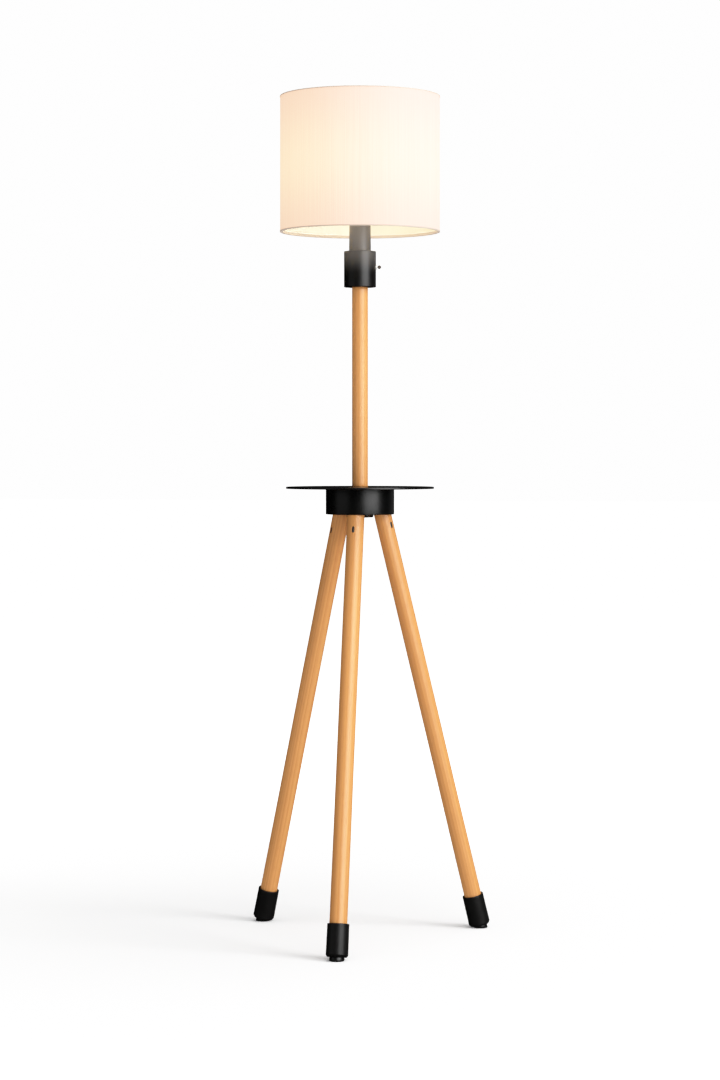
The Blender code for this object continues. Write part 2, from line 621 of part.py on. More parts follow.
def make_foot(name, frame, stem):
    """A rubber sleeve on the leg's end and a glide under it, cut flat where it stands on the floor."""
    bore = LEG_RADIUS + GAP
    floor_top = LEG_START - GAP
    lip = 0.0007
    sleeve = [(bore, SLEEVE_TOP), (SLEEVE_TOP_RADIUS - lip, SLEEVE_TOP)]
    sleeve += [(SLEEVE_TOP_RADIUS, SLEEVE_TOP - lip)]
    sleeve += [(SLEEVE_RADIUS, SLEEVE_BOTTOM + 0.0020), (SLEEVE_RADIUS - 0.0020, SLEEVE_BOTTOM)]
    sleeve += [(stem, SLEEVE_BOTTOM), (stem, floor_top), (bore, floor_top)]
    settle(turned(name + "_foot_sleeve", sleeve, "black_rubber", frame))

    stem_top = 0.0340
    head_top = SLEEVE_BOTTOM - GAP
    disc = [(0, stem_top), (GLIDE_STEM_RADIUS, stem_top), (GLIDE_STEM_RADIUS, head_top)]
    disc += [(GLIDE_RADIUS, head_top), (GLIDE_RADIUS, -0.0080), (0, -0.0080)]
    glide = turned(name + "_foot_glide", disc, "black_plastic", frame, closed=False)
    ground = box("ground", (-0.5, -0.5, -0.1), (0.5, 0.5, 0))
    boolean(glide, place_cutter(name + "_ground", ground, None))
    settle(glide)


def main():
    pole_axis = empty("pole_axis", (0, POLE_Y, 0))
    shade_axis = empty("shade_axis", (0, POLE_Y, 0))
    knob_axis = empty("knob_axis", (0, POLE_Y, SWITCH_Z), (0, pi / 2, 0))
    leg_frames = [leg_frame(index) for index in range(len(LEG_NAMES))]
    make_shade(shade_axis)
    make_socket(pole_axis)
    make_housing(pole_axis)
    make_switch(pole_axis)
    make_knob(knob_axis)
    make_column(pole_axis)
    make_hub(pole_axis, leg_frames)
    make_leads(pole_axis)
    for index, frame in enumerate(leg_frames):
        make_leg(index, frame)
    bpy.context.view_layer.update()


main()
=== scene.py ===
"""Looks of the tripod floor lamp: cloth shade, lamp holder, switch housing, pole, tray, hub, legs and feet.

Laid out as an add-on and run as a script.  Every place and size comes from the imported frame, in metres.
"""
import json
from math import acos, cos, pi, radians, sin, tan

import bpy
import numpy as np
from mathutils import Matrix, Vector


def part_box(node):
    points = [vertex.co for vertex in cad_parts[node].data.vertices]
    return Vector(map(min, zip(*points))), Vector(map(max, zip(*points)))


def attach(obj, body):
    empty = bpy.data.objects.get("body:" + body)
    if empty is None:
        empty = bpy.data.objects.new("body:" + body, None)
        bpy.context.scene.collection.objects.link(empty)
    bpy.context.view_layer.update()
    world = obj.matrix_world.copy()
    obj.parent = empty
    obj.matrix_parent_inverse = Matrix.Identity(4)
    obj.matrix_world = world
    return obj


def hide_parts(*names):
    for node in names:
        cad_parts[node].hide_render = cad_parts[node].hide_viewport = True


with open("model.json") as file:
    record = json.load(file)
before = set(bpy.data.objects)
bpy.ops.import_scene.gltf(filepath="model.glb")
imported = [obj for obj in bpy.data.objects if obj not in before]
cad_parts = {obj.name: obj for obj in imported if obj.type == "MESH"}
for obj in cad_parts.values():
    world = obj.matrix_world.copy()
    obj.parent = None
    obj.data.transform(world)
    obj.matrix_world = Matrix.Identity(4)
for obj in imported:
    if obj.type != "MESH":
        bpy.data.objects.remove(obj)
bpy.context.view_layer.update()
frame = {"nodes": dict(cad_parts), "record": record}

bl_info = {
    "name": "Tripod floor lamp",
    "version": (1, 0, 0),
    "blender": (4, 5, 0),
    "location": "3D View > Sidebar > Lamp",
    "description": "Builds the visible pieces of a tripod floor lamp around its packed frame",
    "category": "Object",
}

LEG_NAMES = ("front", "right", "left")
GAP = 0.0003                # left between pieces that touch
PIPE_HOLE = 0.0053          # radius of the holes that the threaded pipe passes
SHEET_WALL = 0.0015         # of the pressed steel casings
SKIRT_WALL = 0.0013         # of the socket cup's threaded skirt
LEG_LIP = 0.0006            # eased edge at the ends of turned wood


# ---- places, read from the frame ----
def unit(vector):
    vector = np.asarray(vector, float)
    return vector / np.linalg.norm(vector)


class Place:
    """A point and three axes for a turned piece: local z runs along it, local x leans towards outward."""

    def __init__(self, origin, along=(0, 0, 1), outward=(1, 0, 0)):
        self.origin = np.asarray(origin, float)
        along = unit(along)
        across = unit(np.asarray(outward, float) - np.dot(outward, along) * along)
        self.axes = np.stack([across, np.cross(along, across), along])

    def to_world(self, points):
        return points @ self.axes + self.origin

    def to_local(self, points):
        return (points - self.origin) @ self.axes.T


def cad_points(node):
    """The different points of a CAD node's mesh."""
    mesh = frame["nodes"][node].data
    points = np.empty(len(mesh.vertices) * 3)
    mesh.vertices.foreach_get("co", points)
    return np.unique(points.reshape(-1, 3).round(6), axis=0)


def cad_size(node, place):
    """Largest radius, lowest and highest z of a CAD node, in a place's own axes."""
    local = place.to_local(cad_points(node))
    return np.hypot(local[:, 0], local[:, 1]).max(), local[:, 2].min(), local[:, 2].max()


def pole_place():
    low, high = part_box("pole")
    middle = (low + high) / 2
    return Place((middle.x, middle.y, 0))


def switch_place():
    """The switch's own axes: z runs along the knob's shaft, outwards from the pole's axis."""
    low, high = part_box("switch_knob")
    middle = (low + high) / 2
    return Place((POLE.origin[0], POLE.origin[1], middle.z), (1, 0, 0), (0, 0, 1))


def leg_place(name):
    """A leg's own axes: z runs up the leg from where its axis meets the floor, x points outwards."""
    mounts = {mount["name"]: mount["pos_m"] for mount in frame["record"]["mounts"]}
    foot = np.array(mounts[name + "_foot_rest"])
    sleeve = cad_points(name + "_foot_sleeve").mean(axis=0)
    return Place(foot, sleeve - foot, foot - POLE.origin)


POLE = pole_place()
SWITCH = switch_place()
LEGS = {name: leg_place(name) for name in LEG_NAMES}


# ---- outlines: rows of (radius, height), running down the outer side ----
def rounded(corners, closed=True, bend=5):
    """An outline through corners (radius, height, fillet); each fillet an arc that meets both sides."""
    points = np.array([corner[:2] for corner in corners], float)
    count = len(corners)
    rows = []
    for index, (_, _, fillet) in enumerate(corners):
        corner = points[index]
        if not fillet or (not closed and index in (0, count - 1)):
            rows.append(corner[None])
            continue
        back = unit(points[index - 1] - corner)
        ahead = unit(points[(index + 1) % count] - corner)
        half = acos(np.clip(np.dot(back, ahead), -1, 1)) / 2
        centre = corner + unit(back + ahead) * fillet / sin(half)
        start = corner + back * fillet / tan(half) - centre
        end = corner + ahead * fillet / tan(half) - centre
        sweep = pi - 2 * half
        t = np.linspace(0, 1, bend + 1)[:, None]
        rows.append(centre + (np.sin((1 - t) * sweep) * start + np.sin(t * sweep) * end) / sin(sweep))
    return np.concatenate(rows)


def ring_outline(inner, outer, low, high, fillet=0.0):
    corners = [(inner, high), (outer, high), (outer, low), (inner, low)]
    return rounded([(*corner, fillet) for corner in corners])


def circle_outline(path_radius, height, wire_radius, count=16):
    """A round wire's section: centre plus wire radius times (cos, sin), clockwise."""
    angle = -np.linspace(0, 2 * pi, count, endpoint=False)
    circle = np.stack([np.cos(angle), np.sin(angle)], axis=1)
    return np.array([path_radius, height]) + wire_radius * circle


def upright(radius, heights):
    """A straight side: one radius at many heights."""
    return np.stack([np.full(len(heights), radius), heights], axis=1)


def strip_outline(path, thickness, bend=4):
    """A tape's section: the path (radius, height, fillet) thickened by the same amount to both sides."""
    line = rounded(path, closed=False, bend=bend)
    step = np.gradient(line, axis=0)
    normal = np.stack([-step[:, 1], step[:, 0]], axis=1)
    normal *= thickness / 2 / np.linalg.norm(normal, axis=1)[:, None]
    return np.concatenate([line + normal, (line - normal)[::-1]])


def smoothstep(low, high, value):
    t = np.clip((value - low) / (high - low), 0, 1)
    return t * t * (3 - 2 * t)


# ---- waves: what is added to a radius, from angle, radius and height ----
def ribbed(count, depth, low, high, phase=0.0):
    """Sinks the rim between radius low and high by depth (1 + cos(count a + phase)) / 2."""
    def wave(angle, radius, height):
        return -depth * smoothstep(low, high, radius) * (0.5 + 0.5 * np.cos(count * angle + phase))
    return wave


def threaded(radius, depth, pitch, start=-1.0, fade=0.002):
    """A screw thread on the side at one radius: depth sin(a + 2 pi h / pitch), fading in above start."""
    def wave(angle, at_radius, height):
        share = smoothstep(start, start + fade, height) * (np.abs(at_radius - radius) < 0.0001)
        return depth * share * np.sin(angle + 2 * pi * height / pitch)
    return wave


# ---- surfaces ----
class Surface:
    """Points, faces and face corners' map places, gathered before they become a mesh."""

    def __init__(self):
        self.points = np.empty((0, 3))
        self.faces = []
        self.places = []

    def add(self, points, faces, places):
        """Add points (n, 3) with faces (m, k) into them and map places (m, k, 2)."""
        self.faces.append(np.asarray(faces) + len(self.points))
        self.places.append(places)
        self.points = np.concatenate([self.points, points])

    def turned_outwards(self, start_faces):
        """Reverse the faces added since start_faces if the shape they close is inside out."""
        volume = 0.0
        for faces in self.faces[start_faces:]:
            a = self.points[faces[:, 0]]
            for k in range(1, faces.shape[1] - 1):
                b = self.points[faces[:, k]]
                c = self.points[faces[:, k + 1]]
                volume += np.einsum("ij,ij->", a, np.cross(b, c))
        if volume < 0:
            self.faces[start_faces:] = [faces[:, ::-1] for faces in self.faces[start_faces:]]
            self.places[start_faces:] = [places[:, ::-1] for places in self.places[start_faces:]]

    def mesh(self, name, sharp=40):
        """A smooth-shaded mesh whose edges over the sharp angle stay crisp, with its map named Surface."""
        mesh = bpy.data.meshes.new(name)
        faces = [face for group in self.faces for face in group.tolist()]
        mesh.from_pydata(self.points.tolist(), [], faces)
        layer = mesh.uv_layers.new(name="Surface")
        layer.data.foreach_set("uv", np.concatenate([group.reshape(-1) for group in self.places]))
        mesh.shade_smooth()
        mesh.set_sharp_from_angle(angle=radians(sharp))
        return mesh


def grid_faces(rows, columns, wrap_rows, wrap_columns):
    """Row and column numbers of each quad's corners, wrapped ones past the last left unwrapped."""
    row, column = np.meshgrid(np.arange(rows if wrap_rows else rows - 1),
                              np.arange(columns if wrap_columns else columns - 1), indexing="ij")
    corner_rows = np.stack([row, row + 1, row + 1, row], axis=-1).reshape(-1, 4)
    corner_columns = np.stack([column, column, column + 1, column + 1], axis=-1).reshape(-1, 4)
    return corner_rows, corner_columns


def add_turned(surface, outline, place, angles=96, closed=True, wave=None):
    """Point (i, j) is outline row i at angle j: (r cos a, r sin a, h), where wave(a, r, h) is added to r.

    angles is how many equal steps a full turn has, or the angles themselves.  An open outline starts and
    ends on the axis, where its rows shrink to one point each.
    """
    if np.isscalar(angles):
        angles = np.arange(angles) * 2 * pi / angles
    angle = np.asarray(angles)[None, :]
    radius = outline[:, :1] + 0 * angle
    height = outline[:, 1:] + 0 * angle
    if wave is not None:
        radius = radius + wave(angle, radius, height)
    local = np.stack([radius * np.cos(angle), radius * np.sin(angle), height], axis=-1)
    rows, columns = radius.shape
    first = len(surface.faces)
    steps = np.concatenate([[0], np.cumsum(np.linalg.norm(np.diff(outline, axis=0), axis=1))])
    steps = np.append(steps, steps[-1] + np.linalg.norm(outline[0] - outline[-1]))
    turns = np.append(angle[0], angle[0, 0] + 2 * pi) * outline[:, 0].max()
    inner = slice(None) if closed else slice(1, -1)
    used = local[inner]
    count = len(used)
    corner_rows, corner_columns = grid_faces(count, columns, closed, True)
    quads = (corner_rows % count) * columns + corner_columns % columns
    shift = 0 if closed else 1
    places = np.stack([turns[corner_columns], steps[corner_rows + shift]], axis=-1)
    points = [used.reshape(-1, 3)]
    if not closed:
        points += [local[:1, 0] * (0, 0, 1), local[-1:, 0] * (0, 0, 1)]
    surface.add(place.to_world(np.concatenate(points)), quads, places)
    if not closed:
        base = len(surface.points) - count * columns - 2
        column = np.arange(columns)
        for pole, row, level in ((count * columns, 0, 0), (count * columns + 1, count - 1, rows - 1)):
            ring = row * columns
            fan = np.stack([np.full(columns, pole), ring + column, ring + (column + 1) % columns], axis=-1)
            if level:
                fan = fan[:, ::-1]
            around = np.stack([turns[:-1], turns[:-1], turns[1:]], axis=-1)
            along = np.tile([steps[level], steps[row + 1], steps[row + 1]], (columns, 1))
            surface.faces.append(fan + base)
            surface.places.append(np.stack([around, along], axis=-1))
    surface.turned_outwards(first)
    return surface


def add_rings(surface, rings, ends, place, spacing):
    """Join rings (m, n, 3) of points in turn and close each end with a fan to one of the two end points."""
    rows, columns = rings.shape[:2]
    corner_rows, corner_columns = grid_faces(rows, columns, False, True)
    quads = corner_rows * columns + corner_columns % columns
    base = len(surface.points)
    first = len(surface.faces)
    points = place.to_world(np.concatenate([rings.reshape(-1, 3), ends]))
    surface.add(points, quads, np.stack([corner_columns, corner_rows], axis=-1) * spacing)
    around = np.arange(columns)
    ahead = (around + 1) % columns
    last = (rows - 1) * columns
    for pole, one, other in ((0, around, ahead), (1, last + ahead, last + around)):
        fan = np.stack([np.full(columns, rows * columns + pole), one, other], axis=-1)
        surface.faces.append(fan + base)
        surface.places.append(np.zeros((columns, 3, 2)))
    surface.turned_outwards(first)


def add_bar(surface, start, end, radius_at, sides=20, rows=24):
    """A round bar from start to end whose radius is radius_at(t), t from 0 to 1, closed by flat ends."""
    start = np.asarray(start, float)
    end = np.asarray(end, float)
    length = np.linalg.norm(end - start)
    t = np.linspace(0, 1, rows)
    outline = np.stack([radius_at(t), t * length], axis=1)
    outline = np.concatenate([[(0, length)], outline[::-1], [(0, 0)]])
    outward = (0, 0, 1) if abs((end - start)[2]) < 0.9 * length else (1, 0, 0)
    return add_turned(surface, outline, Place(start, end - start, outward), sides, closed=False)


def finished(name):
    """The material of a finish made earlier."""
    return bpy.data.materials["lamp_" + name]


def piece(name, surface, slot, nodes, body="stand", material=None, sharp=40):
    """Turn a surface into an object that rides on a body and stands for the CAD nodes.

    Its material is the finish named like its slot, unless another is given.
    """
    made = bpy.data.objects.new(name, surface.mesh(name, sharp))
    bpy.context.scene.collection.objects.link(made)
    made.data.materials.append(material or finished(slot))
    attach(made, body)
    if nodes:
        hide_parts(*nodes)
    return made


def turned_piece(name, outline, slot, nodes, place=POLE, angles=96, closed=True, wave=None, **options):
    surface = add_turned(Surface(), outline, place, angles, closed, wave)
    return piece(name, surface, slot, nodes, **options)


def store_grain(made, place, offset):
    """Keep each point's place in the wood, measured along and across the piece, as the attribute Grain."""
    points = np.empty(len(made.data.vertices) * 3)
    made.data.vertices.foreach_get("co", points)
    grain = place.to_local(points.reshape(-1, 3)) + np.asarray(offset, float)
    layer = made.data.attributes.new("Grain", "FLOAT_VECTOR", "POINT")
    layer.data.foreach_set("vector", grain.reshape(-1).astype(np.float32))


# ---- materials ----
class Nodes:
    """A node tree, with short calls for the nodes that are used here."""

    def __init__(self, tree):
        self.tree = tree

    def set(self, node, label, value):
        socket = node.inputs[label]
        if isinstance(value, bpy.types.NodeSocket):
            self.tree.links.new(value, socket)
        else:
            socket.default_value = value

    def node(self, kind, inputs=(), output=0, **settings):
        made = self.tree.nodes.new(kind)
        for label, value in settings.items():
            setattr(made, label, value)
        for label, value in dict(inputs).items():
            self.set(made, label, value)
        return made.outputs[output]

    def math(self, operation, first, second):
        return self.node("ShaderNodeMath", {0: first, 1: second}, operation=operation)

    def between(self, value, low, high, to_low=0.0, to_high=1.0, interpolation="LINEAR"):
        """Value carried from one range to another, held at its ends."""
        ends = {"Value": value, "From Min": low, "From Max": high, "To Min": to_low, "To Max": to_high}
        return self.node("ShaderNodeMapRange", ends, interpolation_type=interpolation)


class Finish(Nodes):
    """A material being built around its Principled shader."""

    def __init__(self, name, colour, roughness, metallic=0.0, **inputs):
        self.material = bpy.data.materials.new("lamp_" + name)
        self.material.use_nodes = True
        super().__init__(self.material.node_tree)
        self.shader = self.tree.nodes["Principled BSDF"]
        self.give("Base Color", (*colour, 1))
        self.give("Roughness", roughness)
        self.give("Metallic", metallic)
        for label, value in inputs.items():
            self.give(label.replace("_", " "), value)

    def give(self, label, value):
        self.set(self.shader, label, value)

    def object_place(self):
        return self.node("ShaderNodeTexCoord", output="Object")

    def object_height(self):
        return self.node("ShaderNodeSeparateXYZ", {"Vector": self.object_place()}, output="Z")

    def surface_place(self):
        return self.node("ShaderNodeUVMap", uv_map="Surface")

    def grain_place(self):
        return self.node("ShaderNodeAttribute", output="Vector", attribute_name="Grain")

    def stretched(self, place, scale, offset=(0, 0, 0)):
        return self.node("ShaderNodeMapping", {"Vector": place, "Scale": scale, "Location": offset})

    def noise(self, place, scale=1.0, detail=3.0, roughness=0.5):
        return self.node("ShaderNodeTexNoise", {"Vector": place, "Scale": scale, "Detail": detail,
                                                "Roughness": roughness})

    def bands(self, place, direction, scale=1.0, **inputs):
        """Parallel sine bands; the second output is their height from 0 to 1."""
        return self.node("ShaderNodeTexWave", {"Vector": place, "Scale": scale, **inputs}, output=1,
                         wave_type="BANDS", bands_direction=direction)

    def mixed(self, share, first, second, blend="MIX"):
        colours = [value if isinstance(value, bpy.types.NodeSocket) else (*value, 1)
                   for value in (first, second)]
        return self.node("ShaderNodeMix", {0: share, 6: colours[0], 7: colours[1]}, output=2,
                         data_type="RGBA", blend_type=blend)

    def speckled(self, pattern, low, high, most, colour, other):
        """Base colour that goes part of the way to another one where a pattern goes from low to high."""
        self.give("Base Color", self.mixed(self.between(pattern, low, high, 0.0, most), colour, other))

    def glossed(self, pattern, low, high):
        """Roughness between two values, as a pattern tells."""
        self.give("Roughness", self.between(pattern, 0.3, 0.7, low, high))

    def bumped(self, height, distance, strength=1.0):
        sizes = {"Height": height, "Distance": distance, "Strength": strength}
        self.give("Normal", self.node("ShaderNodeBump", sizes))


def tinted(colour, factor, lift=0.0):
    """A colour made darker or lighter by a factor, then lifted."""
    return tuple(value * factor + lift for value in colour)


def wood_finish(settings):
    """Straight-grained lacquered wood: growth bands, long fibres and short dark pores along the piece."""
    finish = Finish("honey_wood", settings.middle, 0.34, Specular_IOR_Level=0.45)
    place = finish.grain_place()
    sway = finish.noise(finish.stretched(place, (14, 14, 1.3)), detail=2.0)
    heart = finish.stretched(place, (1, 1, 0.035), (0.041, 0.023, 0))
    rings = finish.node("ShaderNodeTexWave", {
        "Vector": heart, "Scale": 62.0, "Distortion": 2.6, "Detail": 2.0, "Detail Scale": 1.2,
        "Detail Roughness": 0.5}, output=1, wave_type="RINGS", rings_direction="Z", wave_profile="SAW")
    fibres = finish.noise(finish.stretched(place, (1100, 1100, 9)), detail=3.0, roughness=0.6)
    streaks = finish.noise(finish.stretched(place, (330, 330, 2.6)), detail=2.0)
    pores = finish.noise(finish.stretched(place, (2600, 2600, 70)), detail=1.0)
    pores = finish.between(pores, 0.62, 0.72)
    tone = finish.mixed(finish.between(rings, 0.25, 1.0, 0.0, 0.75), settings.light, settings.dark)
    tone = finish.mixed(finish.between(sway, 0.35, 0.65, 0.0, 0.55), tone, settings.middle)
    tone = finish.mixed(finish.between(streaks, 0.42, 0.66, 0.0, 0.42), tone, settings.dark)
    tone = finish.mixed(finish.between(fibres, 0.35, 0.72, 0.0, 0.35), tone, settings.light)
    tone = finish.mixed(finish.math("MULTIPLY", pores, 0.38), tone, settings.pore)
    finish.give("Base Color", tone)
    finish.give("Roughness", finish.between(fibres, 0.3, 0.75, 0.30, 0.40))
    finish.bumped(finish.math("SUBTRACT", fibres, pores), 0.00006)
    return finish.material


def paint_finish(name, colour, roughness, **inputs):
    """Powder-coated metal: a fine pebbled skin with slightly uneven gloss."""
    finish = Finish(name, colour, roughness, **inputs)
    place = finish.object_place()
    pebbles = finish.noise(place, scale=1500.0, detail=2.0)
    clouds = finish.noise(place, scale=26.0, detail=3.0)
    finish.glossed(clouds, roughness - 0.04, roughness + 0.05)
    finish.speckled(pebbles, 0.45, 0.8, 0.5, colour, tinted(colour, 1.5, 0.0005))
    finish.bumped(pebbles, 0.00005)
    return finish


def painted_glow_finish(name, top_colour, low_colour, top, low, roughness):
    """Dark paint, paler and warmer towards the shade as a painted glow of its light, and darker towards the
    foot as painted shade.
    """
    finish = paint_finish(name, low_colour, roughness, Specular_IOR_Level=0.42)
    pebbled = finish.shader.inputs["Base Color"].links[0].from_socket
    # painted glow and shade: the colour goes from low_colour at the foot to top_colour near the shade, by
    # height
    share = finish.between(finish.object_height(), low, top, interpolation="SMOOTHSTEP")
    finish.give("Base Color", finish.mixed(share, pebbled, top_colour))
    return finish.material


def metal_finish(name, colour, roughness, scratch=0.06):
    """Plated metal with fine turning marks and a slightly cloudy polish."""
    finish = Finish(name, colour, roughness, 1.0)
    place = finish.object_place()
    marks = finish.noise(finish.stretched(place, (60, 60, 4200)), detail=2.0)
    clouds = finish.noise(place, scale=140.0, detail=3.0)
    finish.speckled(clouds, 0.3, 0.75, 0.3, colour, tinted(colour, 0.75))
    finish.glossed(marks, roughness - scratch, roughness + scratch)
    finish.bumped(marks, 0.00002)
    return finish.material


def moulded_finish(name, colour, roughness, grain=900.0, depth=0.00004, **inputs):
    """Moulded rubber or plastic: fine spark-eroded texture, a dusting of paler tone and even gloss."""
    finish = Finish(name, colour, roughness, **inputs)
    place = finish.object_place()
    skin = finish.noise(place, scale=grain, detail=3.0)
    clouds = finish.noise(place, scale=45.0, detail=4.0)
    finish.speckled(clouds, 0.4, 0.75, 0.5, colour, tinted(colour, 1.7, 0.0006))
    finish.glossed(skin, roughness - 0.06, roughness + 0.06)
    finish.bumped(skin, depth)
    return finish.material


def cast_finish(name, colour):
    """Blackened iron as cast: coarse sandy skin."""
    finish = Finish(name, colour, 0.7, 0.6)
    sand = finish.noise(finish.object_place(), scale=420.0, detail=5.0, roughness=0.65)
    finish.speckled(sand, 0.35, 0.7, 1.0, colour, tinted(colour, 2.2))
    finish.glossed(sand, 0.6, 0.85)
    finish.bumped(sand, 0.0004)
    return finish.material


def cloth_finish(settings):
    """Plain-woven cloth lit from behind: upright slubbed threads, a fine weave and a painted warm glow,
    emission that stands in for the bulb's light through the cloth.
    """
    finish = Finish("shade_cloth", settings.cloth, 0.85, Sheen_Weight=0.25, Sheen_Roughness=0.5)
    place = finish.surface_place()
    rate = 2 * pi / settings.thread / 20
    warp = finish.bands(finish.stretched(place, (rate, 0, 0)), "X", Distortion=0.0)
    weft = finish.bands(finish.stretched(place, (0, rate, 0)), "Y", Distortion=0.0)
    weave = finish.math("MULTIPLY", warp, weft)
    slubs = finish.noise(finish.stretched(place, (560, 4, 1)), detail=3.0, roughness=0.6)
    broad = finish.noise(finish.stretched(place, (190, 1.6, 1)), detail=2.0)
    flecks = finish.noise(finish.stretched(place, (900, 260, 1)), detail=2.0)
    threads = finish.math("ADD", finish.math("MULTIPLY", slubs, 0.8), finish.math("MULTIPLY", broad, 0.2))
    dense = finish.between(threads, 0.38, 0.62)
    tone = finish.mixed(dense, settings.cloth, settings.cloth_dark)
    finish.speckled(flecks, 0.5, 0.8, 0.25, tone, settings.cloth_dark)
    # Painted glow: emission brightest at glow_height and fainter above and below it, dimmed a little at
    # thick threads.
    above = finish.math("SUBTRACT", finish.object_height(), settings.glow_height)
    away = finish.math("ABSOLUTE", above, 0.0)
    spread = finish.between(away, 0.0, settings.glow_reach, interpolation="SMOOTHSTEP")
    glow = finish.mixed(spread, settings.glow, settings.glow_edge)
    shaded = finish.mixed(finish.math("MULTIPLY", dense, 0.08), glow, settings.cloth_dark, "MULTIPLY")
    finish.give("Emission Color", shaded)
    dimmest = settings.glow_strength * 0.85
    finish.give("Emission Strength", finish.between(spread, 0.0, 1.0, settings.glow_strength, dimmest))
    finish.bumped(finish.math("ADD", finish.math("MULTIPLY", weave, 0.5), threads), 0.00012, 0.6)
    return finish.material


def lining_finish(settings):
    """Smooth white lining sheet, faintly clouded, that scatters the bulb's light."""
    finish = Finish("shade_lining", settings.lining, 0.55)
    place = finish.surface_place()
    clouds = finish.noise(place, scale=30.0, detail=3.0)
    finish.speckled(clouds, 0.35, 0.7, 0.3, settings.lining, tinted(settings.lining, 0.94))
    finish.bumped(finish.noise(finish.stretched(place, (700, 40, 1)), detail=2.0), 0.00003)
    return finish.material


def tape_finish(settings):
    """Woven bias tape: slanted ribs with a soft nap, and a faint painted glow of the lamplight through it.
    """
    finish = Finish("rim_tape", settings.tape, 0.85, Sheen_Weight=0.2)
    place = finish.surface_place()
    ribs = finish.bands(place, "DIAGONAL", 180.0, Distortion=1.0, Detail=1.0)
    nap = finish.noise(place, scale=1600.0, detail=3.0)
    finish.speckled(ribs, 0.2, 0.9, 0.6, settings.tape, tinted(settings.tape, 0.72))
    # Painted glow: a faint emission in the colour of the lamplight at the rims.
    finish.give("Emission Color", (*settings.glow_edge, 1))
    finish.give("Emission Strength", 0.15)
    finish.bumped(finish.math("ADD", ribs, nap), 0.00015)
    return finish.material


def bulb_finish(settings):
    """Opal bulb, lit: even warm glow with a faint mottling of the coating inside."""
    finish = Finish("opal_glass", (0.95, 0.93, 0.88), 0.18)
    clouds = finish.noise(finish.object_place(), scale=70.0, detail=2.0)
    mottling = finish.between(clouds, 0.35, 0.7, 0.0, 0.5)
    tone = finish.mixed(mottling, settings.bulb_colour, tinted(settings.bulb_colour, 0.95))
    finish.give("Emission Color", tone)
    finish.give("Emission Strength", settings.bulb_strength)
    return finish.material


# ---- settings ----
def number(name, description, default, **options):
    return bpy.props.FloatProperty(name=name, description=description, default=default, **options)


def amount(name, description, default):
    return number(name, description, default, min=0)


def colour(name, description, default):
    return bpy.props.FloatVectorProperty(name=name, description=description, default=default, size=3, min=0,
                                         max=1, subtype="COLOR")


def length(name, description, default):
    return number(name, description, default, min=0, unit="LENGTH", precision=5)


def turn(name, description, degrees):
    return number(name, description, radians(degrees), subtype="ANGLE")


class LampShadeSettings(bpy.types.PropertyGroup):
    """Cloth, lining, rim tape and light of the shade."""
    cloth: colour("Cloth", "Colour of the shade's cloth", (0.300, 0.216, 0.268))
    cloth_dark: colour("Thick threads", "Colour of the cloth at thick threads", (0.284, 0.202, 0.248))
    lining: colour("Lining", "Colour of the stiff lining inside the cloth", (0.90, 0.84, 0.70))
    tape: colour("Rim tape", "Colour of the tape over both rims", (0.58, 0.50, 0.43))
    glow: colour("Glow", "Colour of the lamplight through the cloth beside the bulb", (1.0, 0.690, 0.396))
    glow_edge: colour("Glow at the rims", "Colour of the lamplight far from the bulb", (1.0, 0.640, 0.392))
    glow_strength: amount("Glow strength", "Lamplight that passes the cloth", 1.15)
    bulb_colour: colour("Bulb", "Colour of the lit bulb", (1.0, 0.80, 0.55))
    bulb_strength: amount("Bulb strength", "How bright the bulb is", 13.0)
    glow_height: length("Glow height", "Height where the cloth glows most", 1.375)
    glow_reach: length("Glow reach", "How far above and below that height the glow fades", 0.14)
    thread: length("Thread spacing", "Distance between neighbouring threads of the cloth", 0.0007)
    lap: length("Seam lap", "How far the cloth laps over itself at its seam", 0.012)


class LampWoodSettings(bpy.types.PropertyGroup):
    """Tones of the wooden pole and legs."""
    light: colour("Light tone", "Colour of the pale early growth", (0.80, 0.370, 0.118))
    middle: colour("Middle tone", "Colour of most of the wood", (0.75, 0.325, 0.095))
    dark: colour("Dark tone", "Colour of the darker late growth", (0.62, 0.240, 0.064))
    pore: colour("Pores", "Colour of the short dark pores", (0.42, 0.150, 0.040))
    slot_depth: length("Slot depth", "Depth of the slot around each leg's steel key", 0.0018)


class LampMetalSettings(bpy.types.PropertyGroup):
    """Painted metal, rubber and plastic."""
    black: colour("Black paint", "Colour of tray, hub and the housing's foot", (0.0022, 0.0021, 0.0020))
    bronze: colour("Bronze paint", "Colour of the socket cup", (0.190, 0.178, 0.171))
    rubber: colour("Rubber", "Colour of the foot sleeves", (0.0045, 0.0042, 0.0040))
    knob: colour("Knob", "Colour of the switch knob", (0.05, 0.03, 0.02))


